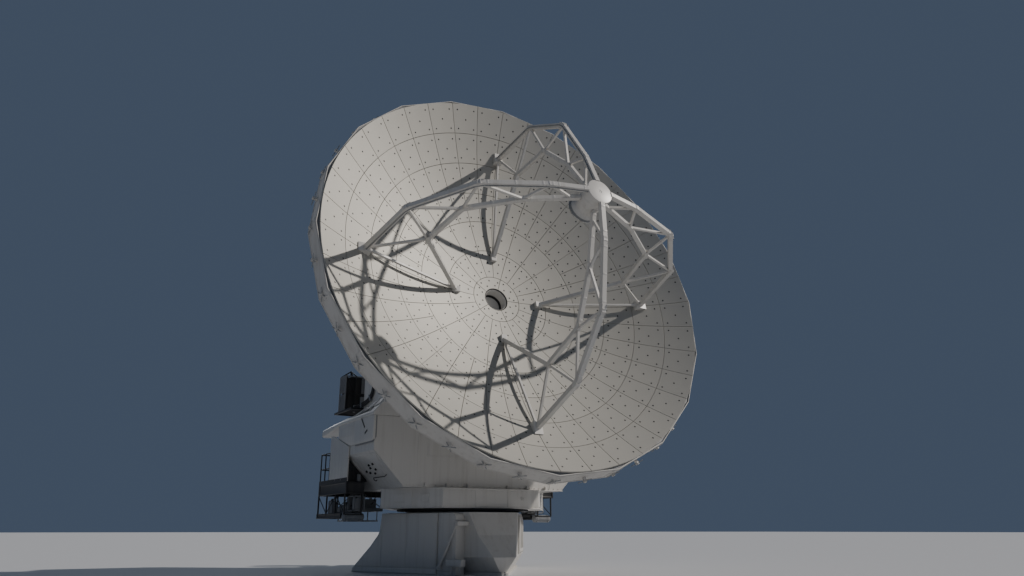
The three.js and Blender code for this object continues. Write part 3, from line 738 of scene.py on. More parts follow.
# The drum where the legs meet, and the small mirror under it, with profiles as radius and height
apex = {
    "steps": 56,
    "drum": [(0, 6.95), (0.32, 6.95), (0.336, 6.962), (0.336, 7.14), (0.344, 7.146), (0.344, 7.176),
             (0.336, 7.182), (0.336, 7.38), (0.354, 7.384), (0.36, 7.388), (0.36, 7.428), (0.356, 7.434),
             (0.35, 7.436), (0.05, 7.436), (0.044, 7.43), (0.014, 7.43), (0.008, 7.436), (0, 7.436)],
    "drumBolts": [(0.336, 0, 7.05), (0.336, 0, 7.25)],
    # A closed housing flares out under the drum to carry the mirror
    "housing": [(0, 6.6805), (0.37, 6.6805), (0.372, 6.684), (0.306, 6.742), (0.3, 6.754), (0.3, 6.79),
                (0.294, 6.794), (0.294, 6.81), (0.3, 6.814), (0.3, 6.9455), (0.296, 6.9495), (0, 6.9495)],
    "housingBolts": (0.299, 0, 6.772),
    "lid": [(0.299, 6.835), (0.303, 6.838), (0.303, 6.9075), (0.299, 6.9105)],
    "lidSweep": 34,
    "flange": [(0, 6.62), (0.383, 6.62), (0.385, 6.623), (0.385, 6.672), (0.377, 6.68), (0, 6.68)],
    "flangeBolts": (0.385, 0, 6.648),
    "mirror": [(0, 6.5), (0.06, 6.5012), (0.12, 6.506), (0.18, 6.515), (0.24, 6.528), (0.29, 6.543),
               (0.34, 6.562), (0.38, 6.581), (0.396, 6.59), (0.4, 6.596), (0.4, 6.61), (0.39, 6.6197),
               (0, 6.6197)],
}


def makeApex():
    steps, sweep, out = apex["steps"], apex["lidSweep"], (1, 0, 0)
    bolts = [place @ seatOn(spot, out) for spot in apex["drumBolts"] for place in around(12, 15)]
    head = joined("apexDrum", [spun("drum", apex["drum"], steps), boltsAt("drumBolts", 0.012, bolts)])
    handDish(head, "white_paint", "apex_drum")
    lid = spun("lid", apex["lid"], 5, closed=True, angle=sweep, turn=-sweep / 2)
    housingBolts, flangeBolts = (
        boltsAt(name, 0.009, [place @ seatOn(apex[name], out) for place in around(24)])
        for name in ("housingBolts", "flangeBolts"))
    housing = [spun("housing", apex["housing"], steps), copies("lids", lid, around(4, 45)), housingBolts]
    handDish(joined("mirrorHousing", housing), "white_paint", "positioner")
    # The flange is grey: painted shade for the shadowed ring at the foot of the housing
    flange = joined("mirrorFlange", [spun("flange", apex["flange"], steps), flangeBolts])
    handDish(flange, "grey_paint")
    handDish(spun("mirror", apex["mirror"], 64), "mirror_metal", "subreflector")


# The cup in the middle of the dish: a pale wall, and a leafed shutter in a black track that is painted shade
# for the gap round the shutter; a black ring at the mouth is painted shade for the groove there
cup = {
    "steps": 72,
    "wall": [(0, 1.3), (0.3747, 1.3), (0.3747, 1.93), (0.362, 1.936), (0.356, 1.98), (0.35, 1.985),
             (0.343, 1.985), (0.34, 1.98), (0.34, 1.564), (0.336, 1.56), (0, 1.56)],
    "track": [(0.31, 1.5605), (0.3395, 1.5605), (0.3395, 1.69), (0.334, 1.694), (0.328, 1.69), (0.326, 1.636),
              (0.31, 1.63)],
    "shadeBand": [(0.3635, 1.942), (0.3745, 1.937), (0.3745, 2.003), (0.3635, 2.001)],
    "leaves": 8,
    "leaf": [(0.012, 1.604), (0.305, 1.618), (0.305, 1.624), (0.012, 1.61)],
    "leafSweep": 46,
    "boss": [(0, 1.561), (0.03, 1.561), (0.03, 1.615), (0.02, 1.622), (0, 1.622)],
}


def makeCup():
    steps = cup["steps"]
    handDish(spun("cup", cup["wall"], steps), "structure_paint", "vertex_cup")
    # The black track and the black ring at the mouth are painted shade
    handDish(spun("shutterTrack", cup["track"], steps, True), "black_paint")
    handDish(spun("mouthSeal", cup["shadeBand"], steps, True), "black_paint", finish=rubber)
    leaf = spun("leaf", cup["leaf"], 5, True, cup["leafSweep"], 1)
    shutter = [copies("leaves", leaf, around(cup["leaves"])), spun("boss", cup["boss"], 16)]
    handDish(joined("shutter", shutter), "white_paint")


makeTruss()
makeApex()
makeCup()
print("truss and apex made")


# Turntable and its bearing: six-sided plan with skirts, seams and bolted lips
turntable = {
    "plan": [(1.545, -1.8), (2.71, -0.217), (1.545, 1.8), (-1.545, 1.8), (-2.71, -0.217), (-1.545, -1.8)],
    "low": 1.71,
    "high": 2.24,
    "topLip": 0.03,
    "lowLip": 0.024,
    "inset": 0.016,
    "seamPitch": 1.05,
    "seam": 0.03,
    "boltPitch": 0.16,
    "boltLevels": (1.765, 2.178),
    # Inspection plates: side of the plan, share of its length, and width
    "plates": [(4, 0.3, 0.34), (4, 0.72, 0.26), (0, 0.5, 0.4), (2, 0.25, 0.5), (2, 0.75, 0.5)],
    "plateHeight": 0.24,
    "plateLevel": 1.98,
    "port": [(0.02, -0.01), (0.05, -0.01), (0.05, 0.012), (0.042, 0.02), (0.028, 0.02), (0.02, 0.012)],
    "portSpot": (0.98, -1.784, 1.99),
    "ring": [(0, 1.6508), (1.9, 1.6508), (1.94, 1.656), (1.94, 1.672), (1.925, 1.676), (1.925, 1.69),
             (1.94, 1.694), (1.94, 1.7097), (0, 1.7097)],
    "ringBolts": 72,
    "ringBolt": (1.925, 0, 1.683),
}


def insetPlan(plan, depth):
    count = len(plan)
    shrunk = []
    for i in range(count):
        before, here, after = (Vector(plan[(i + k) % count]) for k in (-1, 0, 1))
        one, two = (here - before).normalized(), (after - here).normalized()
        inward = (Vector((-one.y, one.x)) + Vector((-two.y, two.x))).normalized()
        shrunk.append(here + inward * depth / max(0.3, inward.dot(Vector((-one.y, one.x)))))
    return shrunk


# The sides of a plan drawn anticlockwise: start, end and the way out
def sidesOf(plan):
    corners = [Vector((x, y, 0)) for x, y in plan]
    sides = []
    for here, after in zip(corners, corners[1:] + corners[:1]):
        along = (after - here).normalized()
        sides.append((here, after, Vector((along.y, -along.x, 0))))
    return sides


# A flat outline drawn up from a low to a high level
def standing(name, plan, low, high, edge):
    clearSelection()
    bpy.ops.mesh.primitive_circle_add(vertices=len(plan), radius=1, fill_type="NGON")
    piece = bpy.context.active_object
    piece.name = name
    for vertex, (x, y) in zip(piece.data.vertices, plan):
        vertex.co = (x, y, low)
    chooseAll(piece)
    bpy.ops.mesh.extrude_region_move(TRANSFORM_OT_translate={"value": (0, 0, high - low)})
    clearSelection()
    tidyMesh(piece)
    return softenEdges(piece, edge) if edge else piece


# The same outline, given as (y, z), drawn along X
def crossing(name, side, low, high, edge):
    piece = standing(name, side, low, high, edge)
    return move(piece, Matrix(((0, 0, 1, 0), (1, 0, 0, 0), (0, 1, 0, 0), (0, 0, 0, 1))))


# The same outline, given as (x, z), drawn along Y
def outwards(name, outline, low, high, edge):
    piece = standing(name, outline, low, high, edge)
    return move(piece, Matrix(((1, 0, 0, 0), (0, 0, 1, 0), (0, 1, 0, 0), (0, 0, 0, 1))))


def makeTurntable():
    low, high, plan = turntable["low"], turntable["high"], turntable["plan"]
    core = insetPlan(plan, turntable["inset"])
    parts = [standing("core", core, low + 0.004, high - 0.004, 0.012),
             standing("topLip", plan, high - turntable["topLip"], high, 0.006),
             standing("lowLip", plan, low, low + turntable["lowLip"], 0.006)]
    width, height = turntable["seam"], (high - low) / 2 - 0.02
    for here, after, out in sidesOf(core):
        length = (after - here).length
        seams = round(length / turntable["seamPitch"])
        for k in range(1, seams):
            seam = insetFaces(startBox("seam", (-width, -height, -0.005), (width, height, 0.009)),
                              facing((0, 0, 1)), (0.022, -0.004))
            spot = here.lerp(after, k / seams) + Vector((0, 0, (low + high) / 2))
            parts.append(move(softenEdges(seam, 0.002, 1), seatOn(spot, out)))
        count = round(length / turntable["boltPitch"])
        for level in turntable["boltLevels"]:
            start, end = (here.lerp(after, share) + Vector((0, 0, level)) for share in (0.03, 0.97))
            parts.append(boltRow("rimBolts", 0.011, start, end, count, out))
    sides = sidesOf(plan)
    for side, share, width in turntable["plates"]:
        here, after, out = sides[side]
        spot = here.lerp(after, share) - out * 0.017 + Vector((0, 0, turntable["plateLevel"]))
        parts.append(boltedPlate("plate", width, turntable["plateHeight"], "turntable", seatOn(spot, out)))
    port = spun("port", turntable["port"], 20, True)
    parts.append(move(port, seatOn(turntable["portSpot"], (0, -1, 0))))
    hand(joined("turntableShell", parts), "yoke", "white_paint", "turntable")
    # The bearing's outer ring, with bolts round it
    bolts = [place @ seatOn(turntable["ringBolt"], (1, 0, 0)) for place in around(turntable["ringBolts"])]
    ring = [spun("ring", turntable["ring"], 96), boltsAt("ringBolts", 0.016, bolts)]
    hand(joined("bearingRing", ring), "yoke", "dark_steel", "bearing_skirt")


makeTurntable()
print("turntable made")


# Yoke: what is set on its box, its shoulders and its arms
yoke = {
    "front": -1.45,
    "back": 1.4,
    "axis": 7.18,
}
shoulder = {
    "outer": -3.5,
    "inner": -2.7503,
    # Sections as y and an outline of (x, z)
    "sections": [(-1.45, [(-3.5, 4.1003), (-3.5, 4.2), (-2.7503, 5.05), (-2.7503, 4.1003)]),
                 (1.4003, [(-3.5, 4.1003), (-3.5, 4.18), (-2.7503, 4.6), (-2.7503, 4.1003)]),
                 (2.95, [(-3.5, 3.9), (-3.5, 4.1), (-3.1003, 4.35), (-3.1003, 3.9)])],
    "edge": 0.035,
    # The roof falls this far along its run, at its inner and outer edge
    "run": 2.85,
    "innerFall": 0.45,
    "outerFall": 0.02,
    "hatches": [(-1.05, 0.5), (-0.35, 0.5), (0.4, 0.6)],
    "hatchX": -3.12,
    "hatchWidth": 0.46,
}


# Closed rings of points, bridged one after the other
def lofted(name, rings, edge):
    clearSelection()
    loops = []
    for ring in rings:
        bpy.ops.mesh.primitive_circle_add(vertices=len(ring), radius=1, fill_type="NOTHING")
        loop = bpy.context.active_object
        for vertex, spot in zip(loop.data.vertices, ring):
            vertex.co = spot
        loops.append(loop)
    piece = joined(name, loops)
    chooseAll(piece)
    bpy.ops.mesh.select_mode(type="EDGE")
    bpy.ops.mesh.bridge_edge_loops()
    bpy.ops.mesh.select_all(action="DESELECT")
    bpy.ops.mesh.select_mode(type="EDGE")
    bpy.ops.mesh.select_non_manifold()
    bpy.ops.mesh.edge_face_add()
    clearSelection()
    chooseAll(piece)
    bpy.ops.mesh.normals_make_consistent(inside=False)
    clearSelection()
    return softenEdges(piece, edge, 3)


def makeShoulders():
    outer, inner, run, x = shoulder["outer"], shoulder["inner"], shoulder["run"], shoulder["hatchX"]
    frontY, front = shoulder["sections"][0]
    rings = [[(x0, y, z0) for x0, z0 in outline] for y, outline in shoulder["sections"]]
    parts = [lofted("shoulder", rings, shoulder["edge"])]
    across = (x - outer) / (inner - outer)
    for y, width in shoulder["hatches"]:
        share = (y - frontY) / run
        low, high = front[1][1] - shoulder["outerFall"] * share, front[2][1] - shoulder["innerFall"] * share
        rise = Vector((inner - outer, 0, high - low))
        fall = Vector((0, run, -shoulder["innerFall"] * across - shoulder["outerFall"]))
        place = seatOn((x, y, low + (high - low) * across), rise.cross(fall), (0, 1, 0))
        parts.append(boltedPlate("hatch", shoulder["hatchWidth"], width, "shoulder", place))
    handPair(joined("shoulder", parts), "white_paint", "shoulder")


# Side walls of the yoke under the shoulders, with outlines as (y, z)
housing = {
    "inside": -3.4503,
    "wallX": -3.48,
    "hoodX": -3.51,
    "wall": [(-1.45, 3.44), (0.35, 3.43), (1.4, 3.735), (1.4, 4.1), (-1.45, 4.1)],
    # The hood's lower corners: centre, radius and turns
    "frontCorner": ((-1.39, 3.53), 0.11, (180, 202.5, 225, 247.5, 270)),
    "rearCorner": ((-0.14, 3.51), 0.09, (270, 292.5, 315, 337.5, 360)),
    # Two sunk slots, as the ends of their middle lines
    "slots": [((-0.57, 4.1), (-0.85, 3.82)), ((-1.06, 3.735), (-0.87, 3.655))],
    "slotWidth": 0.044,
    "padWidth": 0.03,
    "panel": (0.9, 0.3),
    "panelSpot": (-3.48, 0.68, 3.86),
    # Points of the grey bar that is painted shade along the hood's foot and front edge
    "shadeBand": [(-3.474, -0.1, 3.404), (-3.474, -1.36, 3.404), (-3.462, -1.44, 3.43), (-3.42, -1.466, 3.53),
             (-3.42, -1.466, 4.09)],
    "shadeBandRadius": 0.021,
}


def makeDriveHousings():
    inside, left = housing["inside"], (-1, 0, 0)
    corner, rear = arc(*housing["frontCorner"]), arc(*housing["rearCorner"])
    hood = crossing("hood", corner + rear + [(-0.05, 4.1), (-1.5, 4.1)], housing["hoodX"], inside, 0)
    lip = crossing("lip", corner + [(-1.4503, 3.42), (-1.4503, 4.1), (-1.5, 4.1)], -3.47, -3.44, 0)
    parts = [crossing("wall", housing["wall"], housing["wallX"], inside, 0.01),
             softenEdges(hood, 0.02, 3), softenEdges(lip, 0.012)]
    pads = []
    for start, end in housing["slots"]:
        start, end = Vector((housing["hoodX"], *start)), Vector((housing["hoodX"], *end))
        place = seatOn((start + end) / 2, left, end - start)
        half, width, pad = (end - start).length / 2, housing["slotWidth"], housing["padWidth"]
        slot = casing("slot", (-width, -half - 0.02, -0.004), (width, half + 0.02, 0.004),
                      [(0, 0, 1)], 0.012, -0.006, 0.001)
        parts.append(move(slot, place))
        pads.append(move(bar("pad", (-pad, -half, -0.002), (pad, half, 0.003), 0.001), place))
    parts.append(boltedPlate("rearPanel", *housing["panel"], "housing", seatOn(housing["panelSpot"], left)))
    handPair(joined("driveHousing", parts), "white_paint", "side_housing")
    handPair(joined("slotSeals", pads), "black_paint", finish=rubber)
    # A grey round bar runs along the foot of the hood and up its front edge: painted shade for the shadow
    # line under and beside the hood
    handPair(pipe("lipSeal", housing["shadeBand"], housing["shadeBandRadius"], 3), "grey_paint")


# Arms: the bearing's cover, and what is fixed on the arm's faces
arm = {
    "face": -2.75,
    "cover": [(0, 0), (0.6, 0), (0.62, 0.012), (0.62, 0.05), (0.605, 0.06), (0.605, 0.1), (0.595, 0.118),
              (0.545, 0.17), (0.535, 0.176), (0.36, 0.176), (0.345, 0.184), (0.18, 0.184), (0.165, 0.176),
              (0.1, 0.176), (0.09, 0.19), (0, 0.19)],
    # Rings of bolts on the cover: count, start in degrees, radius and height
    "coverBolts": [(24, 7.5, 0.44, 0.175), (8, 0, 0.25, 0.183)],
    "ring": [(0.63, -0.004), (0.74, -0.004), (0.74, 0.014), (0.73, 0.02), (0.64, 0.02), (0.63, 0.014)],
    "ringBolts": (32, 0, 0.69, 0.018),
    # Hatches: width, height, place and the way that they face
    "hatches": [("armHatch", 0.9, 0.9, (-2.75, -0.5, 5.55), (-1, 0, 0)),
                ("frontHatch", 0.4, 0.62, (-2.45, -1.45, 4.85), (0, -1, 0)),
                ("rearHatch", 0.4, 0.9, (-2.45, 1.4, 5.35), (0, 1, 0))],
    "strip": ((-2.758, -1.458, 4.47), (-2.142, 1.408, 4.53)),
    "lugs": [-1.0, -0.34, 0.34, 1.0],
}


def boltRing(count, start, radius, height):
    return [place @ shift(radius, 0, height) for place in around(count, start)]


def makeArms():
    face, axis, left = arm["face"], yoke["axis"], (-1, 0, 0)
    bolts = [spot for ring in arm["coverBolts"] for spot in boltRing(*ring)]
    cover = joined("bearingCover", [spun("cover", arm["cover"], 64), boltsAt("coverBolts", 0.019, bolts)])
    handPair(move(cover, seatOn((face - 0.0003, 0, axis), left)), "white_paint", "bearing_cover")
    # Ring flange, hatches, a joint strip and lifting lugs on the arm itself
    place = seatOn((face, 0, axis), left)
    parts = [move(spun("ring", arm["ring"], 64, True), place),
             boltsAt("ringBolts", 0.016, [place @ spot for spot in boltRing(*arm["ringBolts"])])]
    parts += [boltedPlate(name, width, height, "arm", seatOn(spot, out))
              for name, width, height, spot, out in arm["hatches"]]
    parts.append(bar("strip", *arm["strip"], 0.003))
    for y in arm["lugs"]:
        parts.append(roundEdges(startBox("lug", (-2.81, y - 0.02, 4.56), (face, y + 0.02, 4.72)),
                                lambda middle, along: abs(along.y) > 0.9 and middle.x < -2.8, 0.03, 3))
    handPair(joined("armFittings", parts), "white_paint")


# Three conduits come down each arm from the bearing to the cabinet on the upper deck
armConduits = {
    "route": [(0.38, 6.54), (0.39, 5.9), (0.44, 5.45), (0.5, 5.24), (0.6, 5.03), (0.76, 4.91), (1.0, 4.83),
              (1.45, 4.785), (2.0, 4.76), (2.33, 4.76)],
    "side": -2.8,
    "radius": 0.024,
    "gap": 0.056,
    "clamps": [0.08, 0.3, 0.52, 0.74, 0.93],
    "clamp": ((-0.115, -0.03, -0.03), (0.115, 0.03, 0.034)),
}


def makeConduits():
    route = [Vector((armConduits["side"], y, z)) for y, z in armConduits["route"]]
    lines = []
    for i in (-1, 0, 1):
        points = []
        for k, spot in enumerate(route):
            along = (route[min(k + 1, len(route) - 1)] - route[max(k - 1, 0)]).normalized()
            points.append(spot + Vector((0, -along.z, along.y)) * i * armConduits["gap"])
        lines.append(pipe("line", points, armConduits["radius"], 3, True))
    handPair(joined("armConduits", lines), "black_paint")
    lengths = [0.0]
    for here, after in zip(route, route[1:]):
        lengths.append(lengths[-1] + (after - here).length)
    clamps = []
    for share in armConduits["clamps"]:
        reach = share * lengths[-1]
        k = max(i for i, length in enumerate(lengths) if length <= reach)
        spot = route[k].lerp(route[k + 1], (reach - lengths[k]) / (lengths[k + 1] - lengths[k]))
        clamps.append(move(bar("clamp", *armConduits["clamp"], 0.006),
                           seatOn(spot, (-1, 0, 0), route[k + 1] - route[k])))
    handPair(joined("conduitClamps", clamps), "grey_paint", finish=galvanised)


# What is welded and bolted on the yoke's box
yokeBox = {
    "foot": (2.6, 2.2403, 2.268),
    "footBolts": (2.45, 2.3, 30),
    # Seams on the front and back walls, from the row of bolts up: x and top
    "seams": {-2.15: 4.06, -0.72: 4.34, 0.72: 4.34, 2.15: 4.06},
    "weld": ((2.55, 2.27), (3.43, 3.17)),
    "frontPlate": (0.9, 0.66),
    "frontPlates": [(-1.43, -1.45, 3.4), (1.43, -1.45, 3.4)],
    "door": ((-0.4, 1.38, 2.42), (0.4, 1.43, 3.98)),
    "hinge": [(0, -0.06), (0.014, -0.06), (0.014, 0.06), (0, 0.06)],
    "hinges": [(-0.41, 1.435, 2.75), (-0.41, 1.435, 3.6)],
    "handle": ((0.32, 1.425, 3.1), (0.32, 1.425, 3.3), (0, 0.05, 0), 0.02, 0.01),
    "eyes": [-1.95, -1.3, -0.65, 0.65, 1.3, 1.95],
    "eye": 2.37,
}
# The sloping flank, and what lies on it in its own plane
flank = {
    "middle": (-3.0, -0.02, 2.71),
    "slope": (0.9, 0, 0.94),
    "doubler": [(-0.24, 0.568), (-0.24, -0.152), (1.03, -0.152), (1.38, 0.568)],
    "thick": 0.014,
    "boltInset": 0.05,
    "boltPitch": 0.13,
    "ties": [(0.41, 0.22), (0.37, 0.125), (0.65, 0.055), (-0.07, 0.03), (0.11, -0.03), (0.41, -0.07),
             (0.72, 0.24)],
    "tieSeat": [(0, 0.008), (0.05, 0.008), (0.055, 0.003), (0.055, -0.002), (0, -0.002)],
    "tieBolt": 0.032,
    "plate": (0.7, 0.5),
    "plateSpot": (-0.85, 0.2, 0),
    "line": [(1.05, -0.17, 0.03), (0.9, -0.205, 0.045), (0.1, -0.2, 0.045), (0.05, -0.23, 0.045),
             (0.02, -0.28, 0.045), (0.08, -0.32, 0.04), (0.14, -0.3, 0.03)],
}


def makeYokeFittings():
    front, (width, bottom, top), eye = yoke["front"], yokeBox["foot"], yokeBox["eye"]
    reach, level, count = yokeBox["footBolts"]
    parts = []
    for y, out in ((front, -1), (yoke["back"], 1)):
        low, high = sorted((y + out * 0.02, y - out * 0.04))
        parts.append(bar("foot", (-width, low, bottom), (width, high, top)))
        parts.append(boltRow("footBolts", 0.014, (-reach, y, level), (reach, y, level), count, (0, out, 0)))
        for x, seamTop in yokeBox["seams"].items():
            parts.append(bar("seam", (x - 0.022, y - 0.006, level), (x + 0.022, y + 0.006, seamTop), 0.003))
        for side in (-1, 1):
            weld = [(side * x, y, z) for x, z in yokeBox["weld"]]
            parts.append(pipe("weld", weld, 0.007, 1))
    for spot in yokeBox["frontPlates"]:
        parts.append(boltedPlate("frontPlate", *yokeBox["frontPlate"], "yoke", seatOn(spot, (0, -1, 0))))
    parts.append(casing("door", *yokeBox["door"], [(0, 1, 0)], 0.05, -0.012))
    parts += [move(spun("hinge", yokeBox["hinge"], 10), shift(*spot)) for spot in yokeBox["hinges"]]
    parts.append(handle(*yokeBox["handle"]))
    # Lifting eyes along the foot of the front wall
    for x in yokeBox["eyes"]:
        plate = startBox("eye", (x - 0.012, front - 0.09, top), (x + 0.012, front - 0.01, eye))
        parts.append(roundEdges(plate, lambda middle, along: abs(along.x) > 0.9 and middle.z > eye - 0.01,
                                0.035, 3))
    hand(joined("yokeFittings", parts), "yoke", "white_paint")
    # Sloping flanks: a welded doubler plate, with tie-down bolts and an oil line on it
    slope, thick, outline = Vector(flank["slope"]).normalized(), flank["thick"], flank["doubler"]
    place = seatOn(flank["middle"], (-slope.z, 0, -slope.x), (-slope.x, 0, slope.z))
    parts = [move(standing("doubler", outline, -0.004, thick, 0.004), place)]
    inside = insetPlan(outline, flank["boltInset"])
    for here, after in zip(inside, inside[1:] + inside[:1]):
        count = round((after - here).length / flank["boltPitch"]) + 1
        row = boltRow("doublerBolts", 0.011, (*here, thick), (*after, thick), count, (0, 0, 1), last=1)
        parts.append(move(row, place))
    parts.append(copies("tieSeats", spun("tieSeat", flank["tieSeat"], 16),
                        [place @ shift(x, y, thick) for x, y in flank["ties"]]))
    parts.append(boltedPlate("flankPlate", *flank["plate"], "yoke", place @ shift(*flank["plateSpot"])))
    handPair(joined("flankPlates", parts), "white_paint")
    spots = [place @ shift(x, y, thick + 0.008) for x, y in flank["ties"]]
    bolts = boltsAt("tieBolts", flank["tieBolt"], spots)
    line = move(pipe("oilLine", flank["line"], 0.012), place)
    handPair(joined("tieBolts", [bolts, line]), "dark_steel")


makeShoulders()
makeDriveHousings()
makeArms()
makeConduits()
makeYokeFittings()
print("yoke made")


# Pieces on a face of the pedestal are drawn with x along the face, y outwards and z up
pedestal = {
    "turn": -4,
    "faces": {"bay": 210, "right": 330, "back": 90},
    "wall": 1.6903,
    "hatchWall": 1.75,
    "bayWall": 2.1,
}


def faceTurn(face):
    return Matrix.Rotation(math.radians(pedestal["faces"][face] - 90 + pedestal["turn"]), 4, "Z")


# The bay on the pedestal's left face, with outlines as (x, z)
bay = {
    "body": [(-0.715, 0), (2.36, 0), (2.34, 0.1), (1.37, 0.98), (1.28, 1.58), (-0.715, 1.58)],
    # A raised skin in three sheets with joints between them, over a sill
    "skins": [[(-0.69, 0.17), (0.36, 0.17), (0.36, 1.55), (-0.69, 1.55)],
              [(0.38, 0.17), (1.24, 0.17), (1.24, 1.55), (0.38, 1.55)],
              [(1.26, 0.17), (2.23, 0.17), (1.35, 0.96), (1.26, 1.46)]],
    "skin": 0.008,
    "sill": ((-0.705, 2.09, 0.02), (2.3, 2.114, 0.13)),
    # Screws: columns and rows
    "screws": [((-0.65, -0.32, 0.0, 0.32), (0.22, 1.5)), ((-0.65, 0.32), (0.54, 0.86, 1.18)),
               ((0.42, 0.82, 1.2), (0.22, 1.5)), ((0.42, 1.2), (0.54, 0.86, 1.18))],
}
door = {
    "right": -0.742,
    "left": -1.33,
    "top": 1.58,
    "corner": ((-1.18, 1.43), 0.15, (90, 108, 126, 144, 162, 180)),
    "leafRight": -0.775,
    "leafLeft": -1.29,
    "leafFoot": 0.1,
    "leafTop": 1.53,
    "leafCorner": ((-1.17, 1.41), 0.12, (90, 112, 135, 158, 180)),
    "hinge": [(0, -0.05), (0.013, -0.05), (0.013, -0.018), (0.01, -0.016), (0.01, 0.016), (0.013, 0.018),
              (0.013, 0.05), (0, 0.05)],
    "hingeX": -0.758,
    "hingeLevels": [0.36, 0.82, 1.28],
    "lock": (0.09, 0.16),
    "lockX": -1.22,
}
# A gas strut with a thin rod leans from the door's shoe up to a lug on the pedestal
strut = {
    "stand": 0.08,
    "low": (-0.85, 0.16),
    "high": (-1.41, 1.29),
    "lug": ((-1.47, 1.24), (-1.35, 1.36)),
    "shoe": ((-0.92, 0.14), (-0.79, 0.24)),
    "bolt": 0.022,
}
# The junction box, its lid and three conduits down to the ground
junctionBox = {
    "low": (-1.67, 0.23),
    "high": (-1.17, 0.4),
    "deep": 0.19,
    "screws": [(-1.62, 0.25), (-1.62, 0.38), (-1.22, 0.25), (-1.22, 0.38)],
    "gland": [(0, -0.05), (0.02, -0.05), (0.02, -0.03), (0.026, -0.026), (0.026, 0), (0, 0)],
    "glands": [-1.56, -1.42, -1.28],
}


def makeBay():
    near, wall, out = pedestal["wall"], pedestal["bayWall"], (0, 1, 0)
    place = faceTurn("bay")
    parts = [outwards("bay", bay["body"], near, wall, 0.01)]
    parts += [outwards("skin", skin, wall - 0.004, wall + bay["skin"], 0.002) for skin in bay["skins"]]
    parts.append(bar("sill", *bay["sill"]))
    screws = [seatOn((x, wall + bay["skin"], z), out)
              for row, column in bay["screws"] for x in row for z in column]
    parts.append(boltsAt("screws", 0.009, screws))
    hand(move(joined("bayCover", parts), place), "base", "white_paint", "bay_cover_1")
    # The door beside it, round at its upper corner, with hinges, a frame and a handle
    surround = [(door["right"], 0), (door["right"], door["top"])] + arc(*door["corner"]) + [(door["left"], 0)]
    leaf = [(door["leafRight"], door["leafFoot"]), (door["leafRight"], door["leafTop"])]
    leaf += arc(*door["leafCorner"]) + [(door["leafLeft"], door["leafFoot"])]
    parts = [outwards("door", surround, near, wall - 0.012, 0.008),
             outwards("leaf", leaf, wall - 0.02, wall, 0.006)]
    for level in door["hingeLevels"]:
        parts.append(move(spun("hinge", door["hinge"], 10), shift(door["hingeX"], wall + 0.004, level)))
    x = door["lockX"]
    parts.append(boltedPlate("lock", *door["lock"], "lock", seatOn((x, wall - 0.001, 0.86), out)))
    parts.append(handle((x, wall, 0.82), (x, wall, 0.91), (0, 0.035, 0), 0.01, 0.007))
    hand(move(joined("bayDoor", parts), place), "base", "white_paint", "bay_door")
    plane = wall + strut["stand"]
    low, high = (Vector((x, plane, z)) for x, z in (strut["low"], strut["high"]))
    length = (high - low).length
    rod = spun("rod", [(0, 0), (0.024, 0), (0.03, 0.01), (0.03, 0.05), (0.041, 0.06), (0.041, length * 0.56),
                       (0.036, length * 0.565), (0.036, length * 0.575), (0.026, length * 0.58),
                       (0.026, length - 0.06), (0.032, length - 0.055), (0.032, length), (0, length)], 20)
    parts = [move(rod, seatOn(low, high - low, (1, 0, 0)))]
    for name, back, edge in (("lug", near, 0.012), ("shoe", wall + 0.0003, 0.01)):
        (x0, z0), (x1, z1) = strut[name]
        parts.append(bar(name, (x0, back, z0), (x1, plane + 0.02, z1), edge, 2))
    spots = (low + Vector((0, 0.02, 0.03)), high + Vector((0, 0.02, 0)))
    parts.append(boltsAt("strutBolts", strut["bolt"], [seatOn(spot, out) for spot in spots]))
    # The strut and the box have a grey slot, and a pale coat in this light
    pale = finishes["white_paint"]
    hand(move(joined("doorStrut", parts), place), "base", "grey_paint", "door_strut", finish=pale)
    (x0, z0), (x1, z1), lid = junctionBox["low"], junctionBox["high"], wall + junctionBox["deep"]
    parts = [casing("box", (x0, wall + 0.0003, z0), (x1, lid, z1), [out], 0.02, 0.008, 0.008)]
    parts.append(boltsAt("lidScrews", 0.008, [seatOn((x, lid, z), out) for x, z in junctionBox["screws"]]))
    for x in junctionBox["glands"]:
        parts.append(move(spun("gland", junctionBox["gland"], 12), shift(x, wall + 0.09, 0.232)))
        line = [(x, wall + 0.09, 0.2), (x, wall + 0.09, 0.05), (x + 0.01, wall + 0.05, 0.02)]
        parts.append(pipe("conduit", line, 0.012))
    hand(move(joined("junctionBox", parts), place), "base", "grey_paint", "junction_box", finish=pale)


# Wide hatches on the other two faces
hatch = {
    "nodes": {"right": "bay_cover_2", "back": "bay_cover_3"},
    "plate": [(-1.25, 0.51), (1.25, 0.51), (1.0, 1.52), (-1.0, 1.52)],
    "lid": [(-1.17, 0.56), (1.17, 0.56), (0.95, 1.47), (-0.95, 1.47)],
    "ribs": [-0.62, 0.0, 0.62],
    # Rows of screws: reach to each side, level and count
    "screws": [(1.2, 0.532, 11), (0.95, 1.497, 11)],
    "handles": [-0.31, 0.31],
}


def makeHatches():
    front = pedestal["hatchWall"]
    for face, node in hatch["nodes"].items():
        parts = [outwards("plate", hatch["plate"], pedestal["wall"], front - 0.014, 0.008),
                 outwards("lid", hatch["lid"], front - 0.02, front, 0.006)]
        for x in hatch["ribs"]:
            low, high = (x - 0.03, front - 0.004, 0.64), (x + 0.03, front + 0.022, 1.4)
            parts.append(bar("rib", low, high, 0.008, 2))
        parts.append(boltsAt("screws", 0.011, [
            seatOn((-reach + 2 * reach * i / (count - 1), front - 0.013, level), (0, 1, 0))
            for reach, level, count in hatch["screws"] for i in range(count)]))
        for x in hatch["handles"]:
            parts.append(handle((x - 0.08, front, 1.0), (x + 0.08, front, 1.0), (0, 0.05, 0), 0, 0.009))
        hand(move(joined(face + "Hatch", parts), faceTurn(face)), "base", "white_paint", node)


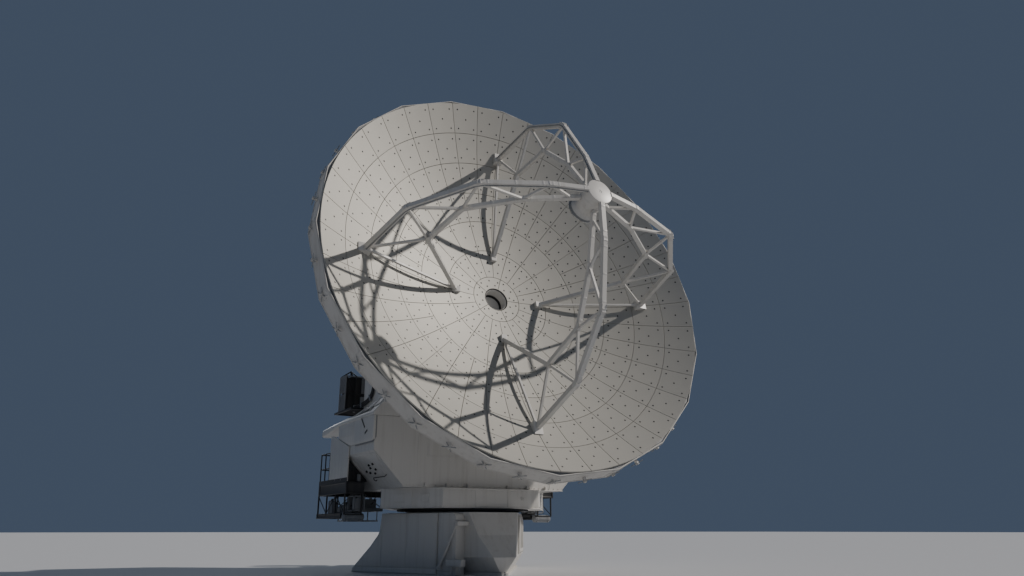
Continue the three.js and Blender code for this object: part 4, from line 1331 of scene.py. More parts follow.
# Anchor nuts at the toes, and the rings on top
toe = {
    "turns": [-90, 30, 150],
    "nuts": [(2.82, 0.0), (2.65, -0.054), (2.65, 0.054)],
    "nut": [(0, 0), (0.06, 0), (0.06, 0.012), (0.034, 0.014), (0.034, 0.05), (0.02, 0.052), (0.02, 0.09),
            (0.016, 0.095), (0, 0.095)],
    "flange": [(0, 1.6003), (1.65, 1.6003), (1.66, 1.606), (1.66, 1.619), (1.654, 1.6249), (0, 1.6249)],
    "race": [(0, 1.6253), (1.59, 1.6253), (1.6, 1.63), (1.6, 1.636), (1.585, 1.638), (1.585, 1.644),
             (1.598, 1.6464), (1.59, 1.65), (0, 1.65)],
}


def makeFeet():
    turns = [Matrix.Rotation(math.radians(turn + pedestal["turn"]), 4, "Z") for turn in toe["turns"]]
    nuts = [turn @ shift(x, y, 0) for turn in turns for x, y in toe["nuts"]]
    hand(copies("anchorNuts", spun("nut", toe["nut"], 12), nuts), "base", "dark_steel", finish=galvanised)
    hand(spun("topFlange", toe["flange"], 96), "base", "structure_paint", "top_ring")
    hand(spun("bearingRace", toe["race"], 96), "base", "dark_steel", "azimuth_bearing")


makeBay()
makeHatches()
makeFeet()
print("pedestal made")


# Platforms: gratings, toe boards, rails, cabinets and the machinery under them
platform = {
    "top": 2.4603,
    "bar": 0.03,
    "pitch": 0.045,
    "rodPitch": 0.1,
    "rim": 0.012,
    "wall": 1.4003,
}


# Bearing bars laid one way and rods across them, in a frame of flat bar
def grating(name, low, high, top):
    (x0, y0), (x1, y1) = low, high
    foot, rim, up = top - platform["bar"], platform["rim"], facing((0, 0, 1))
    pieces = []
    for a, b in (((x0, y0), (x1, y0 + rim)), ((x0, y1 - rim), (x1, y1)), ((x0, y0), (x0 + rim, y1)),
                 ((x1 - rim, y0), (x1, y1))):
        pieces.append(bar("rim", (*a, foot), (*b, top), 0.002))
    flat = startBox("bar", (-0.0025, y0 + rim, foot), (0.0025, y1 - rim, top - 0.001))
    insetFaces(flat, up, (0.0006, 0.0006))
    count = max(2, round((x1 - x0) / platform["pitch"]))
    pieces.append(copies("bars", flat, [shift(x0 + (x1 - x0) * i / count, 0, 0) for i in range(1, count)]))
    rod = startBox("rod", (x0 + rim, -0.003, top - 0.008), (x1 - rim, 0.003, top - 0.002))
    insetFaces(rod, up, (0.001, 0.0006))
    count = max(2, round((y1 - y0) / platform["rodPitch"]))
    pieces.append(copies("rods", rod, [shift(0, y0 + (y1 - y0) * i / count, 0) for i in range(1, count)]))
    return joined(name, pieces)


# A channel beam, sunk along both its long sides
def channel(low, high, rim, depth, edge):
    sides = [(1, 0, 0), (-1, 0, 0)] if high[0] - low[0] < 0.2 else [(0, 1, 0), (0, -1, 0)]
    return casing("beam", low, high, sides, rim, depth, edge)


# The four sides of a frame in plan, between an outer and an inner rectangle
def frameSides(outer, inner):
    ((x0, y0), (x1, y1)), ((u0, v0), (u1, v1)) = outer, inner
    return [((x0, y0), (x1, v0)), ((x0, v1), (x1, y1)), ((x0, v0), (u0, v1)), ((u1, v0), (x1, v1))]


# A square post of 40 mm
def post(x, y, low, high):
    return bar("post", (x - 0.02, y - 0.02, low), (x + 0.02, y + 0.02, high))


deck = {
    "beams": [((-3.5, 0.4, 2.12), (-2.96, 0.46, 2.456)), ((-3.5, 2.84, 2.12), (-1.0, 2.9, 2.456)),
              ((-3.5, 0.46, 2.12), (-3.44, 2.84, 2.456)), ((-3.02, 0.46, 2.12), (-2.96, 1.4, 2.456)),
              ((-1.06, 1.4003, 2.2403), (-1.0, 2.84, 2.456)),
              ((-2.96, 1.4003, 2.2403), (-1.06, 1.46, 2.456))],
    # Ribs along x as y and the end of each, and ribs along y as x
    "ribs": [(0.95, -2.96), (1.5, -1.06), (2.05, -1.06), (2.45, -1.06)],
    "crossRibs": [-2.96, -2.3, -1.65],
    "ribLow": 2.26,
    "ribTop": 2.42,
    "toeBoards": [((-3.5, 0.4, 2.454), (-3.488, 2.9, 2.56)), ((-3.5, 2.888, 2.454), (-1.0, 2.9, 2.56))],
    "gratings": [((-3.44, 0.46), (-3.02, 2.84)), ((-3.02, 1.46), (-1.06, 2.84))],
    "gratingTop": 2.456,
}
# Round rails on flanged posts
rail = {
    "posts": [(-3.475, 2.04), (-3.475, 2.46), (-3.475, 2.875), (-2.86, 2.875), (-2.25, 2.875), (-1.64, 2.875),
              (-1.025, 2.875)],
    "post": 0.019,
    "foot": (0.09, 0.05),
    "line": [(-3.475, 2.02), (-3.475, 2.875), (-1.005, 2.875)],
    "levels": [0.45, 0.9],
    "rail": 0.018,
}


def makeDecks():
    low, top = deck["ribLow"], deck["ribTop"]
    parts = [channel(start, end, 0.035, -0.02, 0.004) for start, end in deck["beams"]]
    parts += [bar("rib", (-3.44, y - 0.03, low), (end, y + 0.03, top)) for y, end in deck["ribs"]]
    parts += [bar("rib", (x - 0.03, 1.46, low), (x + 0.03, 2.84, top)) for x in deck["crossRibs"]]
    parts += [bar("toeBoard", *board, 0.003) for board in deck["toeBoards"]]
    parts += [grating("grating", *plan, deck["gratingTop"]) for plan in deck["gratings"]]
    handPair(joined("sideDeck", parts), "black_paint", "side_deck")
    base, high = platform["top"], rail["levels"][-1]
    parts = []
    for x, y in rail["posts"]:
        parts.append(pipe("post", [(x, y, base), (x, y, base + high)], rail["post"]))
        # The foot plates keep inside the toe boards
        seat = shift(x + (0.02 if x < -3.4 else 0), y - (0.015 if y > 2.8 else 0), base)
        parts.append(boltedPlate("foot", *rail["foot"], "post", seat))
    for level in rail["levels"]:
        parts.append(pipe("rail", [(x, y, base + level) for x, y in rail["line"]], rail["rail"]))
    handPair(joined("lowerRail", parts), "black_paint", "lower_rail")


# The wind screen beside the deck: a sheet with a round rim, as (y, z), and ribs as y and top
screen = {
    "side": [(0.42, 2.4603), (1.99, 2.4603), (1.99, 3.84), (1.7, 3.8), (0.42, 3.41)],
    "sheet": (-3.494, -3.4503),
    "rimX": -3.482,
    "rim": 0.017,
    "ribs": [(0.95, 3.52), (1.47, 3.676)],
}


def makeScreens():
    side, x = screen["side"], screen["rimX"]
    parts = [crossing("sheet", side, *screen["sheet"], 0.006)]
    for here, after in zip(side, side[1:] + side[:1]):
        parts.append(pipe("rim", [(x, *here), (x, *after)], screen["rim"]))
    parts += [bar("rib", (-3.5, y - 0.02, 2.5), (-3.49, y + 0.02, top), 0.003) for y, top in screen["ribs"]]
    handPair(joined("windScreen", parts), "white_paint", "screen_panel")


# A black conduit trunk fills the corner between the sloping flank and the wind screen; its black body is
# painted shade for the dark corner
trunk = {
    # Outline as (x, z), its two ends in y, and the edge
    "body": ([(-3.42, 2.47), (-2.8, 2.47), (-3.42, 3.1)], (0.6, 1.38), 0.008),
    "lid": ([(-3.4, 2.5), (-2.88, 2.5), (-3.4, 3.03)], (0.588, 0.602), 0.004),
    "conduits": [-3.3, -3.24, -3.18],
    "route": [(0, 0.57, 2.4615), (0, 0.56, 2.6), (-0.01, 0.56, 2.78), (-0.02, 0.6, 2.86)],
    "conduit": 0.016,
    "duct": ((-3.14, 0.5, 2.461), (-3.05, 0.586, 2.66)),
}
threeSides = [(0, -1, 0), (-1, 0, 0), (1, 0, 0)]


def makeTrunks():
    parts = []
    for name in ("body", "lid"):
        outline, ends, edge = trunk[name]
        parts.append(lofted(name, [[(x, y, z) for x, z in outline] for y in ends], edge))
    for start in trunk["conduits"]:
        line = [(start + x, y, z) for x, y, z in trunk["route"]]
        parts.append(pipe("conduit", line, trunk["conduit"], 2, True))
    # Black paint here is painted shade for the corner behind the screen
    handPair(joined("conduitTrunk", parts), "black_paint")
    handPair(casing("duct", *trunk["duct"], threeSides, 0.012, 0.004, 0.004), "grey_paint")


def frameOfBars(name, low, high, width):
    (x0, y0, z0), (x1, y1, z1) = low, high
    half, edge = width / 2, width * 0.1
    bars = []
    for a, b in (((x0, z0), (x0, z1)), ((x1, z0), (x1, z1)), ((x0, z0), (x1, z0)), ((x0, z1), (x1, z1))):
        for y in (y0, y1):
            low, high = (a[0] - half, y - half, a[1] - half), (b[0] + half, y + half, b[1] + half)
            bars.append(bar("bar", low, high, edge))
    for x in (x0, x1):
        for z in (z0, z1):
            bars.append(bar("bar", (x - half, y0, z - half), (x + half, y1, z + half), edge))
    return joined(name, bars)


underFrame = {
    "beams": [((-3.5, 2.89, 1.46), (-2.85, 2.95, 1.6)), ((-3.5, 0.75, 1.46), (-3.45, 2.89, 1.6)),
              ((-2.9, 0.75, 1.46), (-2.85, 2.89, 1.6))],
    "tray": ((-3.45, 0.5), (-2.9, 2.89), 1.57),
    "posts": [(-3.48, 0.52), (-3.48, 1.3), (-3.48, 2.1), (-3.48, 2.88), (-2.98, 0.52), (-2.88, 2.88)],
    "postEnds": (1.55, 2.1197),
    "braces": [(0.52, 1.3), (2.1, 1.3), (2.1, 2.88)],
    "braceX": -3.48,
    "braceEnds": (1.6, 2.0997),
    "brace": 0.013,
    # A round vessel lies across the front of the tray, in two saddles
    "vessel": [(0, 0), (0.05, 0.002), (0.09, 0.02), (0.112, 0.05), (0.114, 0.07), (0.114, 0.57),
               (0.112, 0.59), (0.09, 0.62), (0.05, 0.638), (0, 0.64)],
    "vesselStart": (-3.495, 0.62, 1.485),
    "band": [(0.113, -0.02), (0.12, -0.02), (0.12, 0.02), (0.113, 0.02)],
    "bands": [(-3.38, 0.62, 1.485), (-2.98, 0.62, 1.485)],
    "valveFrame": ((-3.2, 0.56, 1.66), (-2.88, 0.98, 2.06), 0.036),
}
# The inner bay: a higher tray, and a light frame of round bar under it
innerBay = {
    "outer": ((-2.9, 1.95), (-1.75, 2.95)),
    "inner": ((-2.86, 2.0), (-1.79, 2.9)),
    "beamEnds": (1.68, 1.78),
    "trayTop": 1.775,
    "posts": [(-1.79, 1.99), (-1.79, 2.88), (-2.4, 2.88), (-2.4, 1.99)],
    "postEnds": (1.76, 2.24),
    "braces": [(-2.86, -2.4, 1.99), (-2.86, -2.4, 2.88), (-1.79, -2.4, 1.99), (-1.79, -2.4, 2.88)],
    "braceEnds": (1.78, 2.22),
    "hangers": [(-2.85, 2.03), (-2.5, 2.03), (-2.2, 2.03), (-1.9, 2.03), (-2.85, 2.8), (-1.9, 2.8)],
    "hangerEnds": (1.7, 1.4),
    "hanger": 0.015,
    "lowRails": [((-2.87, 2.03), (-1.87, 2.03)), ((-2.87, 2.8), (-1.87, 2.8)), ((-2.85, 2.03), (-2.85, 2.8)),
                 ((-1.9, 2.03), (-1.9, 2.8))],
    "lowRail": 0.018,
}
# On the trays stand a motor, a pump, a tank, a filter, a bottle and small cabinets, with pipes between them
machines = {
    "round": [
        ([(0, 0), (0.09, 0), (0.1, 0.01), (0.1, 0.05)]
         + [(0.1 + 0.012 * (k % 2), 0.06 + 0.018 * k) for k in range(12)]
         + [(0.1, 0.29), (0.09, 0.32), (0.05, 0.33), (0.05, 0.37), (0, 0.37)],
         24, seatOn((-3.17, 1.06, 1.72), (0, 1, 0))),
        ([(0, 0), (0.08, 0), (0.12, 0.02), (0.12, 0.09), (0.07, 0.11), (0.07, 0.17), (0.05, 0.19), (0, 0.19)],
         24, seatOn((-3.17, 1.43, 1.72), (0, 1, 0))),
        ([(0, 0), (0.08, 0), (0.1, 0.03), (0.1, 0.34), (0.08, 0.38), (0.03, 0.395), (0.03, 0.42), (0, 0.42)],
         28, shift(-3.24, 2.35, 1.6)),
        ([(0, 0), (0.07, 0), (0.085, 0.02), (0.085, 0.3), (0.07, 0.33), (0, 0.34)],
         20, shift(-3.05, 2.62, 1.6)),
        ([(0, 0), (0.07, 0), (0.09, 0.02), (0.09, 0.6), (0.06, 0.66), (0.02, 0.68), (0.02, 0.72), (0, 0.72)],
         22, seatOn((-2.7, 2.72, 1.88), (1, 0, 0))),
    ],
    "saddle": ((-3.28, 1.06, 1.6), (-3.06, 1.6, 1.63)),
    "feet": [1.12, 1.3, 1.48],
    # Small cabinets: corners, panelled sides, rim and edge
    "boxes": [
        ((-3.12, 0.62, 1.7), (-2.96, 0.9, 2.0), threeSides, 0.025, 0.006),
        ((-3.42, 1.78, 1.602), (-3.24, 1.96, 1.94), threeSides[1:], 0.03, 0.008),
        ((-2.78, 2.06, 1.777), (-2.6, 2.3, 2.1), threeSides, 0.03, 0.008),
        ((-2.3, 2.08, 1.777), (-1.92, 2.4, 2.04), threeSides[::2], 0.03, 0.008),
    ],
    "pipes": [
        [(-3.17, 1.6, 1.78), (-3.22, 1.66, 1.86), (-3.28, 1.72, 1.9), (-3.32, 1.8, 1.88)],
        [(-3.24, 2.35, 2.0), (-3.26, 2.3, 2.05), (-3.31, 2.1, 2.04), (-3.33, 1.94, 1.92)],
        [(-3.05, 2.62, 1.93), (-3.05, 2.64, 2.02), (-3.1, 2.5, 2.05), (-3.22, 2.37, 2.0)],
        [(-3.04, 0.76, 1.98), (-3.04, 0.76, 2.06), (-3.1, 0.8, 2.1), (-3.2, 1.0, 2.1), (-3.2, 1.12, 1.83)],
        [(-2.95, 0.7, 1.62), (-2.94, 1.3, 1.63), (-2.96, 2.0, 1.62), (-2.94, 2.6, 1.64)],
        [(-3.0, 0.75, 1.63), (-2.99, 1.4, 1.64), (-3.02, 2.1, 1.63), (-3.0, 2.55, 1.66)],
        [(-2.61, 2.2, 2.06), (-2.5, 2.2, 2.12), (-2.3, 2.22, 2.12), (-2.24, 2.22, 2.03)],
        [(-2.64, 2.07, 1.95), (-2.64, 2.02, 1.88), (-2.7, 2.01, 1.84), (-2.82, 2.02, 1.79)],
        [(-2.1, 2.08, 1.9), (-2.08, 2.03, 1.86), (-2.0, 2.01, 1.95), (-1.95, 2.03, 2.24)],
    ],
    "pipe": 0.016,
}


def makeUnderFrames():
    brace, x, (low, high) = underFrame["brace"], underFrame["braceX"], underFrame["braceEnds"]
    parts = [channel(start, end, 0.024, -0.014, 0.003) for start, end in underFrame["beams"]]
    parts.append(grating("tray", *underFrame["tray"]))
    parts += [post(*spot, *underFrame["postEnds"]) for spot in underFrame["posts"]]
    parts += [pipe("brace", [(x, y0, low), (x, y1, high)], brace) for y0, y1 in underFrame["braces"]]
    handPair(joined("underPosts", parts), "black_paint")
    vessel = spun("vessel", underFrame["vessel"], 28)
    parts = [move(vessel, seatOn(underFrame["vesselStart"], (1, 0, 0)))]
    for spot in underFrame["bands"]:
        parts.append(move(spun("band", underFrame["band"], 28, True), seatOn(spot, (1, 0, 0))))
        parts.append(bar("saddle", (spot[0] - 0.02, 0.52, 1.372), (spot[0] + 0.02, 0.76, 1.42)))
    parts.append(frameOfBars("valveFrame", *underFrame["valveFrame"]))
    low, high = innerBay["beamEnds"]
    for start, end in frameSides(innerBay["outer"], innerBay["inner"]):
        parts.append(channel((*start, low), (*end, high), 0.018, -0.01, 0.003))
    parts.append(grating("innerTray", *innerBay["inner"], innerBay["trayTop"]))
    parts += [post(*spot, *innerBay["postEnds"]) for spot in innerBay["posts"]]
    low, high = innerBay["braceEnds"]
    parts += [pipe("brace", [(x0, y, low), (x1, y, high)], brace) for x0, x1, y in innerBay["braces"]]
    top, foot = innerBay["hangerEnds"]
    parts += [pipe("hanger", [(*spot, top), (*spot, foot)], innerBay["hanger"])
              for spot in innerBay["hangers"]]
    parts += [pipe("lowRail", [(*start, foot), (*end, foot)], innerBay["lowRail"])
              for start, end in innerBay["lowRails"]]
    handPair(joined("underFrame", parts), "grey_paint", "under_frame")
    parts = [move(spun("machine", profile, steps), place) for profile, steps, place in machines["round"]]
    parts.append(bar("saddle", *machines["saddle"], 0.006))
    parts += [bar("foot", (-3.25, y - 0.02, 1.62), (-3.09, y + 0.02, 1.66)) for y in machines["feet"]]
    parts += [casing("box", low, high, sides, inset, 0.008, edge)
              for low, high, sides, inset, edge in machines["boxes"]]
    handPair(joined("pumpSet", parts), "grey_paint")
    lines = [pipe("line", line, machines["pipe"], 2, True) for line in machines["pipes"]]
    handPair(joined("pipework", lines), "black_paint")


cabinet = {
    "body": ((-3.05, 1.5, 2.4603), (-2.3, 2.5, 3.3)),
    "roof": ((-3.07, 1.48, 3.285), (-2.28, 2.52, 3.31)),
    # Doors: middle and handle in y
    "doors": [(1.76, 1.94), (2.24, 2.06)],
    "door": (0.46, 0.74),
    "vent": (0.3, 0.14, 6, 0.012),
    "rearVent": (0.55, 0.4, 10, 0.016),
}
# The tall cooler on the upper deck: an open frame round a dark core, with louvred walls
cooler = {
    "low": 4.7003,
    "high": 5.85,
    "xs": (-3.03, -2.17),
    "ys": (2.37, 2.88),
    "middle": 2.625,
    # Side vents: level and height
    "sideVents": [(4.995, 0.49), (5.55, 0.5)],
    "vents": [((-2.35, 2.385, 5.55), (0, -1, 0)), ((-2.35, 2.865, 5.55), (0, 1, 0))],
    "terminals": ((-2.52, 2.36, 4.76), (-2.2, 2.42, 5.2)),
    "core": ((-2.98, 2.42, 4.7103), (-2.22, 2.84, 5.8)),
    "fan": [(0.17, 5.79), (0.21, 5.79), (0.21, 5.846), (0.2, 5.85), (0.18, 5.85), (0.17, 5.844)],
    "fanSpot": (-2.6, 2.625, 0),
    "braces": [((-2.68, 4.76), (-2.2, 5.24)), ((-3.0, 5.82), (-2.72, 5.3))],
    # A stay of round bar stands over the cooler and leans down to the deck
    "stays": [((-3.03, 2.86, 5.85), (-2.7, 2.88, 6.08)), ((-2.7, 2.88, 5.85), (-2.7, 2.88, 6.08)),
              ((-2.7, 2.88, 6.08), (-2.12, 2.88, 4.71)), ((-2.7, 2.88, 6.08), (-2.7, 2.37, 5.85))],
}
upperDeck = {
    "outer": ((-3.15, 1.4003), (-2.11, 2.95)),
    "inner": ((-3.1, 1.45), (-2.16, 2.9)),
    "beamEnds": (4.64, 4.7),
    "gratingTop": 4.696,
    # Brackets under it: foot, and its two sides in x
    "knees": [(4.4, -2.26, -2.18), (4.5, -2.75, -2.69)],
}


def makeCabinets():
    left, right = (-1, 0, 0), (1, 0, 0)
    parts = [casing("cabinet", *cabinet["body"], [left], 0.04, 0.006, 0.008),
             bar("roof", *cabinet["roof"], 0.006, 2)]
    for y, grip in cabinet["doors"]:
        parts.append(boltedPlate("door", *cabinet["door"], "cabinet", seatOn((-3.056, y, 2.88), left)))
        parts.append(louvre("vent", *cabinet["vent"], seatOn((-3.068, y, 2.68), left)))
        parts.append(handle((-3.066, grip, 2.9), (-3.066, grip, 3.01), (-0.034, 0, 0), 0.01, 0.007))
    parts.append(louvre("rearVent", *cabinet["rearVent"], seatOn((-2.68, 2.5, 2.9), (0, 1, 0))))
    handPair(joined("equipmentCabinet", parts), "grey_paint", "equipment_cabinet")
    low, high, xs, ys = cooler["low"], cooler["high"], cooler["xs"], cooler["ys"]
    parts = [post(x, y, low, high) for x in xs for y in ys]
    for z in (low + 0.02, high - 0.02):
        parts += [bar("rail", (-3.05, y - 0.018, z - 0.02), (-2.15, y + 0.018, z + 0.02)) for y in ys]
        parts += [bar("rail", (x - 0.018, ys[0], z - 0.02), (x + 0.018, ys[1], z + 0.02)) for x in xs]
    for z, height in cooler["sideVents"]:
        for x, out in zip(xs, (left, right)):
            parts.append(louvre("sideVent", 0.47, height, 11, 0.018, seatOn((x, cooler["middle"], z), out)))
    parts += [louvre("coolerVent", 0.3, 0.5, 11, 0.016, seatOn(spot, out)) for spot, out in cooler["vents"]]
    parts.append(casing("terminals", *cooler["terminals"], [(0, -1, 0)], 0.02, 0.006, 0.005))
    handPair(joined("coolerFrame", parts), "grey_paint", "upper_cabinet")
    parts = [casing("core", *cooler["core"], [(0, -1, 0), (0, 1, 0)], 0.03, -0.02, 0.006),
             move(spun("fanRing", cooler["fan"], 32, True), shift(*cooler["fanSpot"]))]
    for y in ys:
        parts.append(post(-2.7, y, low, high))
        parts.append(bar("bar", (-3.01, y - 0.016, 5.25), (-2.19, y + 0.016, 5.28)))
        parts += [pipe("brace", [(x0, y, z0), (x1, y, z1)], 0.014) for (x0, z0), (x1, z1) in cooler["braces"]]
    parts += [pipe("stay", stay, 0.02) for stay in cooler["stays"]]
    handPair(joined("coolerCore", parts), "black_paint")
    # Deck under it, with its brackets
    (low, high), wall = upperDeck["beamEnds"], platform["wall"]
    parts = [bar("beam", (*start, low), (*end, high)) for start, end in
             frameSides(upperDeck["outer"], upperDeck["inner"])]
    parts.append(grating("upperGrating", *upperDeck["inner"], upperDeck["gratingTop"]))
    for foot, x0, x1 in upperDeck["knees"]:
        parts.append(crossing("knee", [(wall, 4.65), (wall, foot), (1.48, foot), (2.0, 4.65)], x0, x1, 0.005))
    handPair(joined("upperDeck", parts), "black_paint", "upper_deck")


# Landing and ladder behind the yoke
landing = {
    "outer": ((-0.94, 1.4003), (0.94, 2.03)),
    "inner": ((-0.89, 1.45), (0.89, 1.98)),
    "beamEnds": (4.02, 4.09),
    "gratingTop": 4.088,
    "sides": (-0.91, 0.91),
    "posts": [1.5, 1.97],
    "postEnds": (4.05, 4.98),
    "post": 0.018,
    "rails": [4.5, 4.98],
    "rail": 0.017,
    "gate": 0.36,  # share of the width that the rails leave open
    "knee": [(1.4003, 4.03), (1.4003, 3.62), (1.46, 3.62), (1.95, 4.03)],
}
ladder = {
    "stiles": (-0.23, 0.23),
    "ends": (2.3, 4.95),
    "rung": 0.013,
    "rungs": 9,
    "firstRung": 2.45,
    "rungPitch": 0.3,
    "ties": [(2.5, -0.24), (2.5, 0.24), (3.4, -0.24), (3.4, 0.24)],
}


def makeLadder():
    low, high = landing["beamEnds"]
    parts = [bar("beam", (*start, low), (*end, high)) for start, end in
             frameSides(landing["outer"], landing["inner"])]
    parts.append(grating("landingGrating", *landing["inner"], landing["gratingTop"]))
    low, high = landing["postEnds"]
    for x in landing["sides"]:
        parts += [pipe("post", [(x, y, low), (x, y, high)], landing["post"]) for y in landing["posts"]]
        for level in landing["rails"]:
            line = [(x, 1.41, level), (x, 1.97, level), (x * landing["gate"], 1.97, level)]
            parts.append(pipe("rail", line, landing["rail"]))
        parts.append(crossing("knee", landing["knee"], x * 0.9 - 0.02, x * 0.9 + 0.02, 0.004))
    hand(joined("rearLanding", parts), "yoke", "black_paint", "rear_landing")
    (left, right), (low, high) = ladder["stiles"], ladder["ends"]
    parts = [bar("stile", (x - 0.012, 2.06, low), (x + 0.012, 2.13, high)) for x in (left, right)]
    rung = pipe("rung", [(left, 2.095, 0), (right, 2.095, 0)], ladder["rung"])
    parts.append(copies("rungs", rung, [shift(0, 0, ladder["firstRung"] + ladder["rungPitch"] * i)
                                        for i in range(ladder["rungs"])]))
    parts += [bar("tie", (x - 0.02, platform["wall"], z - 0.03), (x + 0.02, 2.08, z + 0.03))
              for z, x in ladder["ties"]]
    hand(joined("rearLadder", parts), "yoke", "grey_paint", "rear_ladder")


makeDecks()
makeScreens()
makeTrunks()
makeUnderFrames()
makeCabinets()
makeLadder()
print("platforms made")


# Receiver cabin, drawn in the dish's own frame with its doors at the back
cabin = {
    "halfX": 1.7,
    "halfY": 1.3,
    # Doors and hatches: name, width, height, place, the way that they face and their upward
    "plates": [("cabinDoor", 1.3, 2.0, (-0.72, 0, -2.0), (0, 0, -1), (0, 1, 0)),
               ("cabinDoor", 1.3, 2.0, (0.72, 0, -2.0), (0, 0, -1), (0, 1, 0)),
               ("topHatch", 1.5, 1.0, (0, 1.3, -0.1), (0, 1, 0), (0, 0, 1)),
               ("lowHatch", 2.2, 1.1, (0, -1.3, -0.6), (0, -1, 0), (0, 0, 1))],
    "vent": (0.8, 0.5, 10, 0.03),
    "vents": [(0.75, 1.3, -1.2), (-0.75, 1.3, -1.2)],
    "bands": [-1.35, -0.4, 0.6],
    "bandClear": 0.24,
    "hub": [(0, 0.9003), (1.84, 0.9003), (1.85, 0.91), (1.85, 0.935), (1.838, 0.945), (1.838, 1.055),
            (1.85, 1.065), (1.85, 1.09), (1.84, 1.0997), (0, 1.0997)],
    "hubBolt": (1.838, 0, 1.0),
    "hubBolts": 72,
    "shaftFace": -1.95,
    "shaftEdges": [(-0.92, -0.86), (0.84, 0.9)],
    "shaftBolts": (20, 0, 0.68, 0),
}


def makeCabin():
    x, y, clear = cabin["halfX"], cabin["halfY"], cabin["bandClear"]
    parts = [boltedPlate(name, width, height, "cabin", seatOn(spot, out, up))
             for name, width, height, spot, out, up in cabin["plates"]]
    parts += [louvre("cabinVent", *cabin["vent"], seatOn(spot, (0, 1, 0))) for spot in cabin["vents"]]
    for level in cabin["bands"]:
        low, high = level - 0.025, level + 0.025
        for a, b in (((-x - 0.006, clear - y), (0.02 - x, y - clear)),
                     ((clear - x, -y - 0.006), (x - clear, 0.02 - y)),
                     ((clear - x, y - 0.02), (x - clear, y + 0.006)),
                     ((x - 0.02, clear - y), (x + 0.006, y - clear))):
            parts.append(bar("band", (*a, low), (*b, high), 0.003))
    hand(move(joined("cabinFittings", parts), tipPlace), "dish", "white_paint")
    bolts = [place @ seatOn(cabin["hubBolt"], (1, 0, 0)) for place in around(cabin["hubBolts"])]
    hub = joined("hubRing", [spun("hub", cabin["hub"], 96), boltsAt("hubBolts", 0.018, bolts)])
    hand(move(hub, tipPlace), "dish", "structure_paint", "hub_ring")
    # Shaft plates with strips along their edges and bolts round the shaft
    face = cabin["shaftFace"]
    parts = [bar("edge", (face - 0.022, -0.85, low), (face, 0.85, high)) for low, high in cabin["shaftEdges"]]
    place = seatOn((face, 0, 0), (-1, 0, 0))
    parts.append(boltsAt("shaftBolts", 0.026, [place @ spot for spot in boltRing(*cabin["shaftBolts"])]))
    handPair(move(joined("shaftFittings", parts), tipPlace), "structure_paint", body="dish")


# The back cone is covered by plates between ribs, with hatches in them, one sector after the other
back = {
    "inner": (1.98, 0, 1.131),
    "outer": (5.86, 0, 3.206),
    # Plates by their start and end as shares of the slope
    "plates": [(0.02, 0.3), (0.32, 0.63), (0.65, 0.985)],
    "plateGap": 0.02,
    "thick": 0.016,
    "boltShares": [0.08, 0.36, 0.64, 0.92],
    "boltInset": 0.035,
    # Hatches: share of the slope, width and length
    "hatches": [(0.16, 0.3, 0.5), (0.47, 0.5, 0.6), (0.8, 0.8, 0.7)],
    "sag": 2.5,  # degrees that bring the hatches' seats down to the flat plates
}


def makeBack():
    inner, outer, thick = Vector(back["inner"]), Vector(back["outer"]), back["thick"]
    half = 180 / rim["facets"]
    slope = (outer - inner).normalized()
    fall = Vector((slope.z, 0, -slope.x))
    middle = Matrix.Rotation(math.radians(half), 4, "Z")
    cover = []
    for shares in back["plates"]:
        start, end = (inner.lerp(outer, share) + fall * 0.002 for share in shares)
        trim = math.degrees(back["plateGap"] / start.x)
        chain, sweep = [(start.x, start.z), (end.x, end.z)], 2 * half - 2 * trim
        panel = spun("backPanel", chain, 4, angle=sweep, turn=trim)
        thicken(panel, -1, thick, 1)
        softenEdges(panel, 0.004, 1)
        bolts = []
        for share in back["boltShares"]:
            spot = start.lerp(end, share)
            for side in (-1, 1):
                turn = math.radians(half - trim) - back["boltInset"] / spot.x
                seat = seatOn(spot + fall * (thick - 0.0005), fall, slope)
                bolts.append(middle @ Matrix.Rotation(side * turn, 4, "Z") @ seat)
        cover += [boltsAt("backBolts", 0.014, bolts), panel]
    for share, width, length in back["hatches"]:
        spot = inner.lerp(outer, share) + fall * thick
        spot.x *= math.cos(math.radians(back["sag"]))
        cover.append(boltedPlate("backHatch", width, length, "back", middle @ seatOn(spot, fall, slope)))
    covers = copies("backCovers", joined("backCover", cover), around(rim["facets"]))
    handDish(covers, "structure_paint")


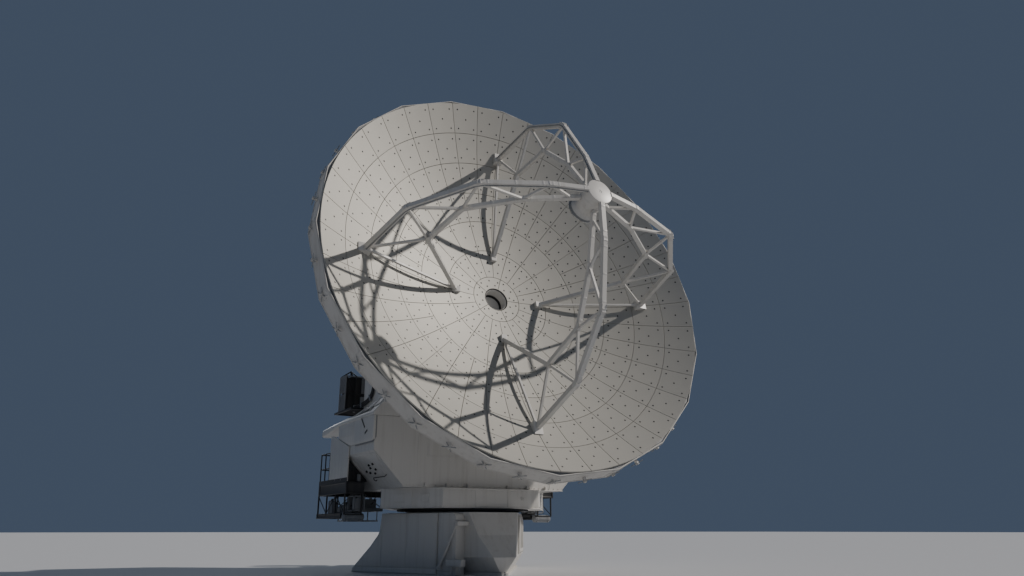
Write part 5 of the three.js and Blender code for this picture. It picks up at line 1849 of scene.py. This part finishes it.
makeCabin()
makeBack()
print("back made")


# Camera, light and floor
view = {
    "lens": 27.39,
    "sensor": 36,
    "clip": 500,
    "place": (-11.115, -21.40, 1.14),
    "aim": (0.514, 0.858),
    "rise": 17.25,
}
light = {
    # Lamps: the way to each, its power, its spread and its colour
    "sun": ((0.698, -0.378, 0.609), 2.5, 0.02, "#fff8f0"),
    "fill": ((0.3, 1.0, 0.45), 0.4, 0.6, "#ffffff"),
    "sky": "#9db5da",
    "skyPower": 0.17,
}
floorSize = 400


def putInScene(name, data, direction, track):
    item = bpy.data.objects.new(name, data)
    bpy.context.scene.collection.objects.link(item)
    item.rotation_euler = Vector(direction).to_track_quat(track, "Y").to_euler()
    return item


cameraData = bpy.data.cameras.new("camera")
cameraData.lens = view["lens"]
cameraData.sensor_width = view["sensor"]
cameraData.clip_end = view["clip"]
camera = putInScene("camera", cameraData, (*view["aim"], math.tan(math.radians(view["rise"]))), "-Z")
camera.location = view["place"]
bpy.context.scene.camera = camera

for name in ("sun", "fill"):
    direction, power, spread, colour = light[name]
    lamp = bpy.data.lights.new(name, "SUN")
    lamp.energy = power
    lamp.angle = spread
    lamp.color = linear(colour)[:3]
    putInScene(name, lamp, direction, "Z")
world = bpy.data.worlds.new("sky")
world.use_nodes = True
background = world.node_tree.nodes["Background"]
background.inputs["Color"].default_value = linear(light["sky"])
background.inputs["Strength"].default_value = light["skyPower"]
bpy.context.scene.world = world

floor = bar("floor", (-floorSize, -floorSize, -0.2), (floorSize, floorSize, 0), 0.05)
# Pale paper: an even, matt grey with a faint cloudiness
paper, shader, place = startMaterial("palePaper")
fibre = addNode(paper, "TexNoise", {"Scale": 4.0, "Detail": 4.0}, {"Vector": place})
tone = addNode(paper, "Mix", {"data_type": "RGBA", 6: linear("#c9cbce"), 7: linear("#c3c5c8")},
               {0: fibre.outputs["Fac"]})
paper.node_tree.links.new(tone.outputs[2], shader.inputs["Base Color"])
shader.inputs["Roughness"].default_value = 0.9
floor.data.materials.append(paper)
